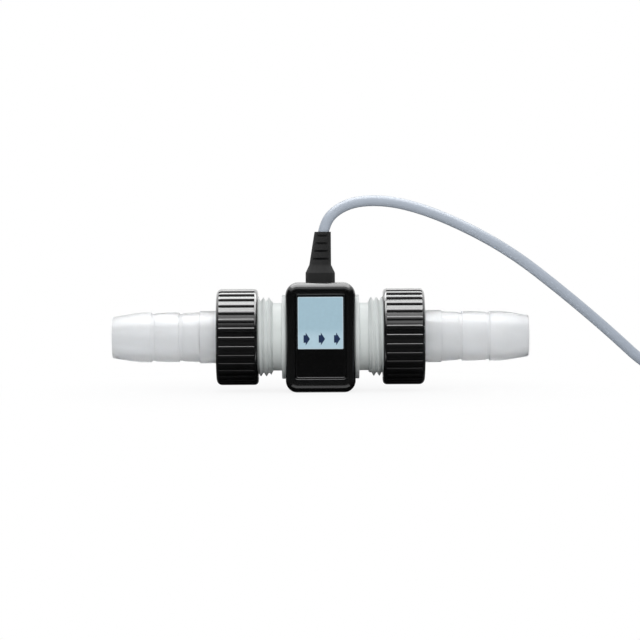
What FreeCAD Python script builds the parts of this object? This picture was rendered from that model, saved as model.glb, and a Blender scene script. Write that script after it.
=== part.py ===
"""In-line turbine flow meter with union nuts, hose tails and a pulse sensor.

The flow runs along +X. The origin is on the flow axis, halfway along the meter, and +Z is up. Water enters
at -X, is straightened by the inlet spider, spins the turbine and leaves at +X. A Hall sensor in the square
housing counts the turbine's magnets through the tube wall, and a cable carries the pulses away.
All lengths are millimetres and all angles are degrees.
"""
import FreeCAD, Part
import math
import os

import Sketcher
from FreeCAD import Placement, Rotation, Vector

FINE = 1e-4
X_WAY = Vector(1, 0, 0)
Y_WAY = Vector(0, 1, 0)
Z_WAY = Vector(0, 0, 1)

doc = FreeCAD.newDocument("turbine_flow_meter")
sheet = doc.addObject("Spreadsheet::Sheet", "Sizes")

# ---------------------------------------------------------------- driving dimensions

DRIVING = {
    # flow tube: one turned and threaded length of white plastic
    "tube_length": 73.4,
    "turbine_bore": 20.0,
    "thread_diameter": 33.25,
    "thread_length": 16.6,
    "thread_chamfer": 1.2,
    "neck_diameter": 28.5,
    "collar_diameter": 35.4,
    "collar_thickness": 1.7,
    "waist_diameter": 26.0,
    # union nuts
    "nut_wall": 3.275,
    "nut_length": 17.65,
    "nut_shoulder": 3.0,
    "nut_outer_rounding_share": 0.7,
    "nut_inner_rounding_share": 0.52,
    "nut_thread_clearance": 0.35,
    "nut_collar_clearance": 0.35,
    "shoulder_play": 0.1,
    "rib_count": 32,
    "rib_groove_width": 2.0,
    "rib_groove_depth": 0.8,
    "outer_band": 1.1,
    "inner_band": 1.5,
    "inlet_nut_angle": 6.6,
    "outlet_nut_angle": 4.1,
    # hose tails for a 20 mm hose
    "tail_length": 50.9,
    "tail_bore": 15.0,
    "tail_flange_diameter": 32.2,
    "tail_flange_thickness": 4.0,
    "tail_collar_diameter": 22.0,
    "tail_collar_length": 10.2,
    "barb_crest_diameter": 20.9,
    "barb_root_diameter": 20.2,
    "barb_notch_diameter": 19.6,
    "barb_notch_width": 1.5,
    "barb_pitch": 11.6,
    "barb_crest_length": 4.5,
    "barb_last_land": 7.65,
    "tail_tip_diameter": 17.3,
    "tail_tip_taper": 8.85,
    # face seal between tube and tail
    "face_seal_diameter": 24.8,
    "face_seal_section": 2.4,
    "face_seal_room": 0.2,
    # turbine
    "hub_diameter": 9.0,
    "hub_length": 12.0,
    "hub_rounding": 0.8,
    "blade_count": 6,
    "blade_tip_clearance": 0.35,
    "blade_length": 10.0,
    "blade_pitch": 60.0,
    "blade_thickness": 1.5,
    "magnet_count": 4,
    "magnet_diameter": 1.9,
    "magnet_length": 3.0,
    "magnet_circle": 5.6,
    "magnet_room": 0.05,
    # shaft and bearings
    "shaft_diameter": 2.0,
    "shaft_fit": 0.03,
    "hub_fit": 0.01,
    "shaft_end_play": 0.15,
    "shaft_rounding": 0.3,
    "bearing_diameter": 5.0,
    "bearing_length": 4.0,
    "bearing_floor": 0.7,
    "hub_gap": 0.3,
    # inlet and outlet spiders, held by retaining rings
    "spider_length": 8.7,
    "spider_fit": 0.05,
    "spider_rim": 1.1,
    "vane_count": 4,
    "vane_thickness": 1.0,
    "nose_length": 6.0,
    "nose_tip_diameter": 2.6,
    "ring_thickness": 1.2,
    "ring_groove_depth": 0.8,
    "ring_inner_diameter": 17.8,
    "ring_gap_angle": 40,
    "ring_room": 0.05,
    # sensor housing, split into halves on the plane y = 0
    "housing_width": 29.1,
    "housing_height": 45.7,
    "housing_depth": 43.0,
    "housing_corner": 5.0,
    "housing_rounding": 3.4,
    "housing_wall": 2.4,
    "tube_clearance": 0.1,
    "recess_side_rim": 0.6,
    "recess_top_rim": 1.0,
    "recess_bottom_rim": 2.4,
    "recess_depth": 1.5,
    "recess_corner": 1.2,
    "boss_diameter": 5.6,
    "boss_inset": 5.1,
    "screw_diameter": 2.5,
    "screw_clearance": 0.2,
    "screw_length": 28.0,
    "screw_head_diameter": 4.6,
    "screw_head_height": 1.8,
    "screw_sink": 0.5,
    "ledge_length": 4.0,
    "ledge_height": 1.4,
    "ledge_width": 13.0,
    "waist_seal_section": 1.2,
    "waist_seal_squeeze": 0.03,
    "waist_seal_room": 0.1,
    # front panel and label
    "panel_gap": 0.2,
    "panel_thickness": 0.8,
    "label_side_margin": 0.9,
    "label_height": 21.7,
    "label_thickness": 0.25,
    "label_top_margin": 1.4,
    "label_corner": 0.4,
    # electronics under the housing's top wall
    "board_side_clearance": 0.3,
    "board_end_clearance": 1.1,
    "board_thickness": 1.2,
    "sensor_width": 4.2,
    "sensor_length": 3.2,
    "sensor_gap": 0.15,
    "sensor_height": 1.4,
    "chip_size": 5.0,
    "chip_height": 1.3,
    "capacitor_diameter": 3.0,
    "capacitor_room": 1.3,
    "resistor_length": 2.0,
    "resistor_width": 1.2,
    "resistor_height": 0.6,
    "resistor_pitch": 1.7,
    "resistor_room": 0.2,
    # cable, strain relief and coil
    "cable_diameter": 4.6,
    "cable_room": 0.25,
    "boot_base_diameter": 12.4,
    "boot_base_height": 4.05,
    "boot_shoulder_height": 3.4,
    "boot_taper_height": 13.9,
    "boot_taper_diameter": 9.2,
    "boot_top_diameter": 6.9,
    "boot_lean": 1.1,
    "boot_neck_diameter": 8.4,
    "boot_neck_room": 0.1,
    "boot_flange_diameter": 11.0,
    "boot_flange_height": 1.9,
    "slot_count": 4,
    "slot_pitch": 3.24,
    "slot_height": 0.9,
    "slot_skin": 0.2,
    "slot_rail": 1.1,
    "slot_first": 2.05,
    "wire_diameter": 1.2,
    "wire_circle": 2.4,
    "coil_radius": 27.6,
    "coil_turns": 4,
    "coil_rows": 3,
    "coil_centre_x": 173.0,
    "coil_centre_y": -16.0,
    "tie_thickness": 0.8,
    "tie_width": 2.6,
    "tie_room": 0.1,
    "tie_head_width": 4.4,
    "tie_head_depth": 3.6,
    "tie_head_height": 5.2,
    "core_diameter": 1.3,
    "core_length": 16.0,
    "ferrule_diameter": 1.0,
    "ferrule_length": 6.0,
    "free_end_start": 298,
    "free_end_angle": 40,
}


class Term:
    """A size worked out from the sheet: its number, and the formula that document objects are bound to."""

    def __init__(self, number, formula=None):
        self.number = float(number)
        self.formula = formula or repr(float(number))

    @staticmethod
    def of(other):
        return other if isinstance(other, Term) else Term(other)

    def joined(self, other, sign, number):
        return Term(number, f"({self.formula} {sign} {other.formula})")

    def __add__(self, other):
        other = Term.of(other)
        return self.joined(other, "+", self.number + other.number)

    def __sub__(self, other):
        other = Term.of(other)
        return self.joined(other, "-", self.number - other.number)

    def __mul__(self, other):
        other = Term.of(other)
        return self.joined(other, "*", self.number * other.number)

    def __truediv__(self, other):
        other = Term.of(other)
        return self.joined(other, "/", self.number / other.number)

    def __radd__(self, other):
        return Term.of(other) + self

    def __rsub__(self, other):
        return Term.of(other) - self

    def __rmul__(self, other):
        return Term.of(other) * self

    def __neg__(self):
        return Term(-self.number, f"(0 - {self.formula})")


class Sizes:
    """The sheet's cells by name, each as a Term."""


size = Sizes()
for row, (alias, number) in enumerate(DRIVING.items(), start=1):
    sheet.set(f"A{row}", alias)
    sheet.set(f"B{row}", str(number))
    sheet.setAlias(f"B{row}", alias)
doc.recompute()
for alias in DRIVING:
    setattr(size, alias, Term(sheet.get(alias), f"Sizes.{alias}"))

# ---------------------------------------------------------------- sizes that follow from them

tube_end = size.tube_length / 2
bore_radius = size.turbine_bore / 2
thread_radius = size.thread_diameter / 2
neck_radius = size.neck_diameter / 2
waist_radius = size.waist_diameter / 2
half_width = size.housing_width / 2
half_height = size.housing_height / 2
half_depth = size.housing_depth / 2
collar_end = half_width + size.collar_thickness
thread_start = tube_end - size.thread_length

seal_radius = size.face_seal_diameter / 2
seal_section_radius = size.face_seal_section / 2
seal_groove_half = seal_section_radius + size.face_seal_room
seal_groove_floor = tube_end - 2 * seal_groove_half

flange_end = tube_end + size.tail_flange_thickness
nut_end = flange_end + size.shoulder_play + size.nut_shoulder
nut_start = nut_end - size.nut_length
nut_bore_radius = thread_radius + size.nut_thread_clearance
nut_radius = nut_bore_radius + size.nut_wall
nut_outer_rounding = size.nut_wall * size.nut_outer_rounding_share
nut_inner_rounding = size.nut_wall * size.nut_inner_rounding_share

tail_collar_end = flange_end + size.tail_collar_length
tail_tip = tube_end + size.tail_length

shaft_radius = size.shaft_diameter / 2
bearing_face = size.hub_length / 2 + size.hub_gap
shaft_end = bearing_face + size.bearing_length - size.bearing_floor - size.shaft_end_play
spider_end = bearing_face + size.spider_length

recess_width = 2 * (half_width - size.housing_rounding - size.recess_side_rim)
recess_top = half_height - size.housing_rounding - size.recess_top_rim
recess_bottom = size.recess_bottom_rim - half_height + size.housing_rounding
recess_middle = (recess_top + recess_bottom) / 2
panel_width = recess_width - 2 * size.panel_gap
panel_height = recess_top - recess_bottom - 2 * size.panel_gap
recess_floor = half_depth - size.recess_depth
cavity_front = recess_floor - size.housing_wall
cavity_rear = half_depth - size.housing_wall
boss_x = half_width - size.boss_inset
boss_z = half_height - size.boss_inset

board_width = 2 * (boss_x - size.boss_diameter / 2 - size.board_side_clearance)
board_length = 2 * (cavity_front - size.board_end_clearance)
sensor_bottom = waist_radius + size.sensor_gap
board_bottom = sensor_bottom + size.sensor_height
board_top = board_bottom + size.board_thickness
boot_flange_top = half_height - size.housing_wall
boot_flange_bottom = boot_flange_top - size.boot_flange_height
capacitor_height = boot_flange_top - size.capacitor_room - board_top
taper_bottom = half_height + size.boot_base_height + size.boot_shoulder_height
boot_top = taper_bottom + size.boot_taper_height

floor_z = -half_height
cable_radius = size.cable_diameter / 2
coil_bottom = floor_z + size.tie_thickness
coil_height = size.cable_diameter * size.coil_rows
coil_width = size.cable_diameter * size.coil_turns
coil_top = coil_bottom + coil_height

# ---------------------------------------------------------------- drawing helpers


def bind(item, path, term):
    """Tie one property of a document object to a formula of the sheet."""
    item.setExpression(path, Term.of(term).formula)


def new_body(label):
    body = doc.addObject("PartDesign::Body", label)
    body.Label = label
    return body


def origin_part(body, role):
    """One of the body's own origin planes or axes, by its role."""
    return next(item for item in body.Origin.OriginFeatures if item.Role == role)


def new_sketch(body, label, role, lift=None):
    """A sketch on one of the body's origin planes, raised along its normal by lift."""
    sketch = body.newObject("Sketcher::SketchObject", label)
    sketch.AttachmentSupport = (origin_part(body, role), [""])
    sketch.MapMode = "FlatFace"
    if lift is not None:
        bind(sketch, "AttachmentOffset.Base.z", lift)
    return sketch


def hold(sketch, kind, first, second, term):
    """Add one measured constraint, bound to the sheet."""
    index = sketch.addConstraint(Sketcher.Constraint(kind, *first, *second, Term.of(term).number))
    bind(sketch, f"Constraints[{index}]", term)


def draw_outline(sketch, corners):
    """Close a polygon through corners given as pairs of terms."""
    corners = [(Term.of(across), Term.of(up)) for across, up in corners]
    points = [Vector(across.number, up.number, 0) for across, up in corners]
    first = sketch.GeometryCount
    count = len(points)
    for index in range(count):
        sketch.addGeometry(Part.LineSegment(points[index], points[(index + 1) % count]))
    for index in range(count):
        joint = ("Coincident", first + index, 2, first + (index + 1) % count, 1)
        sketch.addConstraint(Sketcher.Constraint(*joint))
    for index, (across, up) in enumerate(corners):
        hold(sketch, "DistanceX", (-1, 1), (first + index, 1), across)
        hold(sketch, "DistanceY", (-1, 1), (first + index, 1), up)


def draw_rectangle(sketch, low_u, low_v, high_u, high_v):
    draw_outline(sketch, [(low_u, low_v), (high_u, low_v), (high_u, high_v), (low_u, high_v)])


def draw_circle(sketch, across, up, radius):
    across, up, radius = Term.of(across), Term.of(up), Term.of(radius)
    centre = Vector(across.number, up.number, 0)
    index = sketch.addGeometry(Part.Circle(centre, Z_WAY, radius.number))
    radius_hold = sketch.addConstraint(Sketcher.Constraint("Radius", index, radius.number))
    bind(sketch, f"Constraints[{radius_hold}]", radius)
    hold(sketch, "DistanceX", (-1, 1), (index, 3), across)
    hold(sketch, "DistanceY", (-1, 1), (index, 3), up)


def add_feature(body, kind, label, sketch, **settings):
    """Add a feature made from a sketch. Settings that are Terms are bound to the sheet."""
    feature = body.newObject(f"PartDesign::{kind}", label)
    feature.Profile = sketch
    for name, setting in settings.items():
        if isinstance(setting, Term):
            bind(feature, name, setting)
        else:
            setattr(feature, name, setting)
    body.Tip = feature
    return feature


def revolve(body, label, corners, axis="H_Axis", role="XY_Plane", kind="Revolution", angle=360):
    """Turn a closed outline about a sketch axis."""
    sketch = new_sketch(body, f"{label}_outline", role)
    draw_outline(sketch, corners)
    return add_feature(body, kind, label, sketch, ReferenceAxis=(sketch, [axis]), Angle=angle)


def polar(body, label, originals, count, role="X_Axis"):
    """Repeat features around one of the body's axes."""
    pattern = body.newObject("PartDesign::PolarPattern", label)
    pattern.Originals = originals
    pattern.Axis = (origin_part(body, role), [""])
    pattern.Angle = 360
    bind(pattern, "Occurrences", count)
    body.Tip = pattern
    return pattern


def round_edges(body, label, radius, test):
    """Fillet the tip's edges that pass a test."""
    doc.recompute()
    base = body.Tip
    names = [f"Edge{index}" for index, edge in enumerate(base.Shape.Edges, start=1) if test(edge)]
    if not names:
        raise ValueError(f"{body.Label} {label}: no edge to round")
    fillet = body.newObject("PartDesign::Fillet", label)
    fillet.Base = (base, names)
    bind(fillet, "Radius", radius)
    body.Tip = fillet
    return fillet


def near(one, other):
    return abs(one - Term.of(other).number) < FINE * 10


def circle_at(way, place, radius):
    """A test for circles of one radius, centred at one place along an axis."""

    def test(edge):
        if not isinstance(edge.Curve, Part.Circle) or not near(edge.Curve.Radius, radius):
            return False
        return near(edge.Curve.Center.dot(way), place)

    return test


def straight_along(way):
    """A test for straight edges along one axis."""

    def test(edge):
        if not isinstance(edge.Curve, Part.Line):
            return False
        return abs(abs(edge.Curve.Direction.dot(way)) - 1) < FINE

    return test


def all_at(way, place):
    """A test for edges that lie wholly in one plane across an axis."""

    def test(edge):
        return all(near(vertex.Point.dot(way), place) for vertex in edge.Vertexes)

    return test


def mirrored(points):
    """The same points on the other side of x = 0, in reverse order."""
    return [(-across, up) for across, up in reversed(points)]


def primitive(kind, label, **settings):
    """A Part primitive whose sizes are bound to the sheet."""
    item = doc.addObject(f"Part::{kind}", label)
    for name, setting in settings.items():
        bind(item, name, setting)
    return item


def place(item, across, along, up, turn=None):
    """Put an object's base at three terms, turned as given."""
    item.Placement = Placement(Vector(), turn or Rotation())
    for name, term in (("x", across), ("y", along), ("z", up)):
        bind(item, f"Placement.Base.{name}", term)


def grouped(label, members):
    """Several separate solids kept as one sub-part."""
    group = doc.addObject("Part::Compound", label)
    group.Label = label
    group.Links = members
    return group


# ---------------------------------------------------------------- flow tube


def make_flow_tube():
    """The white tube: threads, undercuts and collars outside, seats for seals and cartridge inside."""
    body = new_body("flow_tube")
    waist_seal_half = size.waist_seal_section / 2 + size.waist_seal_room
    waist_seal_x = half_width - size.housing_wall / 2
    waist_seal_floor = waist_radius - size.waist_seal_section
    ring_end = spider_end + size.ring_thickness + 2 * size.ring_room
    ring_floor = bore_radius + size.ring_groove_depth
    half = [
        (waist_seal_x - waist_seal_half, waist_radius),
        (waist_seal_x - waist_seal_half, waist_seal_floor),
        (waist_seal_x + waist_seal_half, waist_seal_floor),
        (waist_seal_x + waist_seal_half, waist_radius),
        (half_width, waist_radius),
        (half_width, size.collar_diameter / 2),
        (collar_end, size.collar_diameter / 2),
        (collar_end, neck_radius),
        (thread_start, neck_radius),
        (thread_start + size.thread_chamfer, thread_radius),
        (tube_end - size.thread_chamfer, thread_radius),
        (tube_end, thread_radius - size.thread_chamfer),
        (tube_end, seal_radius + seal_groove_half),
        (seal_groove_floor, seal_radius + seal_groove_half),
        (seal_groove_floor, seal_radius - seal_groove_half),
        (tube_end, seal_radius - seal_groove_half),
        (tube_end, bore_radius),
        (ring_end, bore_radius),
        (ring_end, ring_floor),
        (spider_end, ring_floor),
        (spider_end, bore_radius),
    ]
    revolve(body, "tube", half + mirrored(half))
    return body


# ---------------------------------------------------------------- unions


def make_union_nut(label, side, angle):
    """A ribbed nut: it turns on the tube's thread and draws the hose tail's flange home."""
    body = new_body(label)
    shoulder_face = nut_end - size.nut_shoulder
    collar_hole = size.tail_collar_diameter / 2 + size.nut_collar_clearance
    corners = [
        (side * nut_start, nut_bore_radius),
        (side * nut_start, nut_radius),
        (side * nut_end, nut_radius),
        (side * nut_end, collar_hole),
        (side * shoulder_face, collar_hole),
        (side * shoulder_face, nut_bore_radius),
    ]
    revolve(body, "shell", corners)

    round_edges(body, "outer_rim", nut_outer_rounding, circle_at(X_WAY, side * nut_end, nut_radius))
    round_edges(body, "inner_rim", nut_inner_rounding, circle_at(X_WAY, side * nut_start, nut_radius))
    above = size.rib_groove_depth
    sketch = new_sketch(body, "groove_outline", "XY_Plane", nut_radius + above)
    draw_rectangle(
        sketch,
        side * (nut_start + size.inner_band),
        -size.rib_groove_width / 2,
        side * (nut_end - size.outer_band),
        size.rib_groove_width / 2,
    )
    groove = add_feature(body, "Pocket", "groove", sketch, Length=above + size.rib_groove_depth)
    polar(body, "grooves", [groove], size.rib_count)
    body.Placement = Placement(Vector(), Rotation(X_WAY, angle.number))
    bind(body, "Placement.Rotation.Angle", angle)
    return body


def make_hose_tail(label, side):
    """A hose tail: flange inside the nut, collar, then three sawtooth lands and a tapered tip."""
    body = new_body(label)
    crest = size.barb_crest_diameter / 2
    root = size.barb_root_diameter / 2
    notch = size.barb_notch_diameter / 2
    collar = size.tail_collar_diameter / 2
    flange = size.tail_flange_diameter / 2
    first_land = tail_tip - size.tail_tip_taper - size.barb_last_land - 2 * size.barb_pitch
    corners = [
        (tube_end, size.tail_bore / 2),
        (tube_end, flange),
        (flange_end, flange),
        (flange_end, collar),
        (tail_collar_end, collar),
        (tail_collar_end, crest),
    ]
    for land in range(3):
        start = first_land + land * size.barb_pitch
        if land:
            corners.append((start, crest))
        corners.append((start + size.barb_crest_length, crest))
        if land < 2:
            notch_start = start + size.barb_pitch - size.barb_notch_width
            corners.append((notch_start, root))
            corners.append((notch_start, notch))
            corners.append((start + size.barb_pitch, notch))
    corners.append((tail_tip - size.tail_tip_taper, root))
    corners.append((tail_tip, size.tail_tip_diameter / 2))
    corners.append((tail_tip, size.tail_bore / 2))
    revolve(body, "tail", [(side * along, radius) for along, radius in corners])
    return body


def make_face_seal(label, side):
    """The square-cut ring in the tube's end groove, squeezed flush by the tail's flange."""
    body = new_body(label)
    inner, outer = seal_radius - seal_section_radius, seal_radius + seal_section_radius
    corners = [
        (side * seal_groove_floor, inner),
        (side * seal_groove_floor, outer),
        (side * tube_end, outer),
        (side * tube_end, inner),
    ]
    revolve(body, "ring", corners)
    return body


# ---------------------------------------------------------------- turbine cartridge


def make_rotor():
    """The turbine: a hub with helical blades and pockets for its magnets."""
    body = new_body("rotor")
    hub_radius = size.hub_diameter / 2
    hub_end = size.hub_length / 2
    half = [(hub_end, hub_radius), (hub_end, shaft_radius + size.hub_fit)]
    revolve(body, "hub", mirrored(half) + half)

    def rim(edge):
        ends = circle_at(X_WAY, hub_end, hub_radius), circle_at(X_WAY, -hub_end, hub_radius)
        return any(end(edge) for end in ends)

    round_edges(body, "hub_rims", size.hub_rounding, rim)
    tip_radius = bore_radius - size.blade_tip_clearance
    blade_start = -size.blade_length / 2
    sketch = new_sketch(body, "blade_outline", "XY_Plane")
    low = hub_radius - size.hub_rounding
    draw_rectangle(sketch, blade_start, low, blade_start + size.blade_thickness, tip_radius)
    blade = add_feature(body, "AdditiveHelix", "blade", sketch, ReferenceAxis=(sketch, ["H_Axis"]))
    blade.Mode = "pitch-height-angle"
    bind(blade, "Pitch", size.blade_pitch)
    bind(blade, "Height", size.blade_length - size.blade_thickness)
    polar(body, "blades", [blade], size.blade_count)
    pocket_sketch = new_sketch(body, "magnet_outline", "YZ_Plane", -hub_end)
    pocket_radius = size.magnet_diameter / 2 + size.magnet_room
    draw_circle(pocket_sketch, Term(0), size.magnet_circle / 2, pocket_radius)
    depth = size.magnet_length + size.magnet_room
    pocket = add_feature(body, "Pocket", "magnet_pocket", pocket_sketch, Length=depth, Reversed=True)
    polar(body, "magnet_pockets", [pocket], size.magnet_count)
    return body


def make_rotor_magnets():
    """Magnets pressed into the turbine's upstream face. The Hall sensor counts them as they pass."""
    body = new_body("rotor_magnets")
    face = -size.hub_length / 2
    sketch = new_sketch(body, "magnet_outline", "YZ_Plane", face)
    draw_circle(sketch, Term(0), size.magnet_circle / 2, size.magnet_diameter / 2)
    magnet = add_feature(body, "Pad", "magnet", sketch, Length=size.magnet_length)
    polar(body, "magnets", [magnet], size.magnet_count)
    return body


def make_rotor_shaft():
    """The ceramic shaft, fixed in the turbine and turning in both bearings."""
    body = new_body("rotor_shaft")
    corners = [
        (-shaft_end, Term(0)),
        (-shaft_end, shaft_radius),
        (shaft_end, shaft_radius),
        (shaft_end, Term(0)),
    ]
    revolve(body, "shaft", corners)

    def rim(edge):
        ends = circle_at(X_WAY, shaft_end, shaft_radius), circle_at(X_WAY, -shaft_end, shaft_radius)
        return any(end(edge) for end in ends)

    round_edges(body, "shaft_rims", size.shaft_rounding, rim)
    return body


def make_bearing(label, side):
    """A ceramic cup: it carries one end of the shaft and its thrust."""
    body = new_body(label)
    outer = size.bearing_diameter / 2
    inner = shaft_radius + size.shaft_fit
    end = bearing_face + size.bearing_length
    floor = end - size.bearing_floor
    corners = [
        (bearing_face, inner),
        (bearing_face, outer),
        (end, outer),
        (end, Term(0)),
        (floor, Term(0)),
        (floor, inner),
    ]
    revolve(body, "cup", [(side * along, radius) for along, radius in corners])
    return body


def make_spider(label, side):
    """A flow straightener: rim, vanes and a nosed hub that holds the bearing."""
    body = new_body(label)
    rim_outer = bore_radius - size.spider_fit
    rim_inner = rim_outer - size.spider_rim
    hub_radius = size.hub_diameter / 2
    rim = [
        (bearing_face, rim_inner),
        (bearing_face, rim_outer),
        (spider_end, rim_outer),
        (spider_end, rim_inner),
    ]
    revolve(body, "rim", [(side * along, radius) for along, radius in rim])
    vane_sketch = new_sketch(body, "vane_outline", "XY_Plane")
    reach = rim_inner + size.spider_rim / 2
    draw_rectangle(vane_sketch, side * bearing_face, Term(0), side * spider_end, reach)
    vane = add_feature(body, "Pad", "vane", vane_sketch, Length=size.vane_thickness, Midplane=True)
    polar(body, "vanes", [vane], size.vane_count)
    nose_tip = spider_end + size.nose_length
    seat_end = bearing_face + size.bearing_length
    seat_radius = size.bearing_diameter / 2
    hub = [
        (bearing_face, Term(0)),
        (bearing_face, hub_radius),
        (spider_end, hub_radius),
        (nose_tip, size.nose_tip_diameter / 2),
        (nose_tip, Term(0)),
    ]
    revolve(body, "hub", [(side * along, radius) for along, radius in hub])
    seat = [
        (bearing_face, Term(0)),
        (bearing_face, seat_radius),
        (seat_end, seat_radius),
        (seat_end, Term(0)),
    ]
    revolve(body, "bearing_seat", [(side * along, radius) for along, radius in seat], kind="Groove")
    tip = circle_at(X_WAY, side * nose_tip, size.nose_tip_diameter / 2)
    round_edges(body, "nose", size.nose_tip_diameter / 4, tip)
    return body


def make_retaining_ring(label, side):
    """An open spring ring in the bore's groove, which stops the spider."""
    body = new_body(label)
    inner = size.ring_inner_diameter / 2
    outer = bore_radius + size.ring_groove_depth - size.ring_room
    start = spider_end + size.ring_room
    end = start + size.ring_thickness
    corners = [(start, inner), (start, outer), (end, outer), (end, inner)]
    corners = [(side * along, radius) for along, radius in corners]
    ring = revolve(body, "ring", corners)
    bind(ring, "Angle", 360 - size.ring_gap_angle)
    return body


# ---------------------------------------------------------------- sensor housing


def make_housing_half(label, front):
    """One half of the housing: rounded block, cavity, tube and cable holes, bosses and a board ledge."""
    body = new_body(label)
    way = -1 if front else 1
    cavity_end = cavity_front if front else cavity_rear
    block_sketch = new_sketch(body, "block_outline", "XZ_Plane")
    draw_rectangle(block_sketch, -half_width, -half_height, half_width, half_height)
    add_feature(body, "Pad", "block", block_sketch, Length=half_depth, Reversed=not front)
    round_edges(body, "corners", size.housing_corner, straight_along(Y_WAY))
    round_edges(body, "face_rounding", size.housing_rounding, all_at(Y_WAY, way * half_depth))

    inner_x = half_width - size.housing_wall
    inner_z = half_height - size.housing_wall
    cavity_sketch = new_sketch(body, "cavity_outline", "XZ_Plane")
    draw_rectangle(cavity_sketch, -inner_x, -inner_z, inner_x, inner_z)
    add_feature(body, "Pocket", "cavity", cavity_sketch, Length=cavity_end, Reversed=front)

    boss_sketch = new_sketch(body, "boss_outline", "XZ_Plane")
    for across in (-boss_x, boss_x):
        for up in (-boss_z, boss_z):
            draw_circle(boss_sketch, across, up, size.boss_diameter / 2)
    boss_length = cavity_end + size.housing_wall / 2
    add_feature(body, "Pad", "bosses", boss_sketch, Length=boss_length, Reversed=not front)

    ledge_start = cavity_end - size.ledge_length
    ledge_lift = ledge_start if front else -cavity_end - size.housing_wall / 2
    ledge_sketch = new_sketch(body, "ledge_outline", "XZ_Plane", ledge_lift)
    half_ledge = size.ledge_width / 2
    ledge_low = board_bottom - size.ledge_height
    draw_rectangle(ledge_sketch, -half_ledge, ledge_low, half_ledge, board_bottom)
    ledge_reach = size.ledge_length + size.housing_wall / 2
    add_feature(body, "Pad", "ledge", ledge_sketch, Length=ledge_reach)

    tube_sketch = new_sketch(body, "tube_hole_outline", "YZ_Plane")
    draw_circle(tube_sketch, Term(0), Term(0), waist_radius + size.tube_clearance)
    width = size.housing_width + size.housing_wall
    add_feature(body, "Pocket", "tube_hole", tube_sketch, Length=width, Midplane=True)

    neck_sketch = new_sketch(body, "neck_hole_outline", "XY_Plane", board_top)
    draw_circle(neck_sketch, Term(0), Term(0), size.boot_neck_diameter / 2 + size.boot_neck_room)
    reach = half_height - board_top + size.housing_wall
    add_feature(body, "Pocket", "neck_hole", neck_sketch, Length=reach, Reversed=True)

    screw_radius = size.screw_diameter / 2
    if front:
        drill_screw_holes(body, "pilot_holes", screw_radius, screw_depth_in_front(), True)
        recess_sketch = new_sketch(body, "recess_outline", "XZ_Plane", half_depth)
        draw_rectangle(
            recess_sketch,
            -recess_width / 2,
            recess_bottom,
            recess_width / 2,
            recess_top,
        )
        add_feature(body, "Pocket", "recess", recess_sketch, Length=size.recess_depth)

        def recess_corner(edge):
            inside = all(-vertex.Point.y > recess_floor.number - FINE for vertex in edge.Vertexes)
            return straight_along(Y_WAY)(edge) and inside and near(edge.Length, size.recess_depth)

        round_edges(body, "recess_corners", size.recess_corner, recess_corner)
    else:
        drill_screw_holes(body, "screw_holes", screw_radius + size.screw_clearance, half_depth, False)
        sink_depth = size.screw_head_height + size.screw_sink
        sink_radius = size.screw_head_diameter / 2 + size.screw_clearance
        sink_sketch = new_sketch(body, "head_sink_outline", "XZ_Plane", -half_depth)
        draw_screw_circles(sink_sketch, sink_radius)
        add_feature(body, "Pocket", "head_sinks", sink_sketch, Length=sink_depth, Reversed=True)
    return body


def screw_depth_in_front():
    """How far each screw reaches past the plane where the halves meet."""
    head_seat = half_depth - size.screw_sink - size.screw_head_height
    return size.screw_length - head_seat


def draw_screw_circles(sketch, radius):
    for across in (-boss_x, boss_x):
        for up in (-boss_z, boss_z):
            draw_circle(sketch, across, up, radius)


def drill_screw_holes(body, label, radius, depth, forward):
    """Four holes from the meeting plane, forward to -Y or backward to +Y."""
    sketch = new_sketch(body, f"{label}_outline", "XZ_Plane")
    draw_screw_circles(sketch, radius)
    spare = size.screw_clearance if forward else Term(0)
    add_feature(body, "Pocket", label, sketch, Length=depth + spare, Reversed=forward)


def make_housing_screws():
    """Four screws that hold the halves together, put in from behind."""
    screws = []
    head_seat = half_depth - size.screw_sink - size.screw_head_height
    tip = head_seat - size.screw_length
    turn = Rotation(X_WAY, -90)
    for index, (side_x, side_z) in enumerate(((-1, -1), (1, -1), (-1, 1), (1, 1)), start=1):
        shank = primitive(
            "Cylinder",
            f"screw_shank_{index}",
            Radius=size.screw_diameter / 2 - size.shaft_fit,
            Height=size.screw_length + size.screw_head_height / 2,
        )
        place(shank, side_x * boss_x, tip, side_z * boss_z, turn)
        head = primitive(
            "Cylinder",
            f"screw_head_{index}",
            Radius=size.screw_head_diameter / 2,
            Height=size.screw_head_height,
        )
        place(head, side_x * boss_x, head_seat, side_z * boss_z, turn)
        screw = doc.addObject("Part::Fuse", f"screw_{index}")
        screw.Base = shank
        screw.Tool = head
        screws.append(screw)
    return grouped("housing_screws", screws)


def make_waist_seal(label, side):
    """The small square-cut ring that keeps splashes out of the housing."""
    body = new_body(label)
    inner, outer = waist_radius - size.waist_seal_section, waist_radius - size.waist_seal_squeeze
    middle = half_width - size.housing_wall / 2
    start, end = middle - size.waist_seal_section / 2, middle + size.waist_seal_section / 2
    corners = [(side * start, inner), (side * start, outer), (side * end, outer), (side * end, inner)]
    revolve(body, "ring", corners)
    return body


def make_plate(label, width, height, thickness, middle_z, back_y, corner):
    """A thin plate with rounded corners, standing in front of the plane y = -back_y."""
    body = new_body(label)
    sketch = new_sketch(body, "plate_outline", "XZ_Plane", back_y)
    low, high = middle_z - height / 2, middle_z + height / 2
    draw_rectangle(sketch, -width / 2, low, width / 2, high)
    add_feature(body, "Pad", "plate", sketch, Length=thickness)
    round_edges(body, "corners", corner, straight_along(Y_WAY))
    return body


def make_front_panel():
    """The glossy panel that fills the housing's front recess."""
    corner = size.recess_corner - size.panel_gap
    thickness = size.panel_thickness
    return make_plate(
        "front_panel", panel_width, panel_height, thickness, recess_middle, recess_floor, corner
    )


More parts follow.
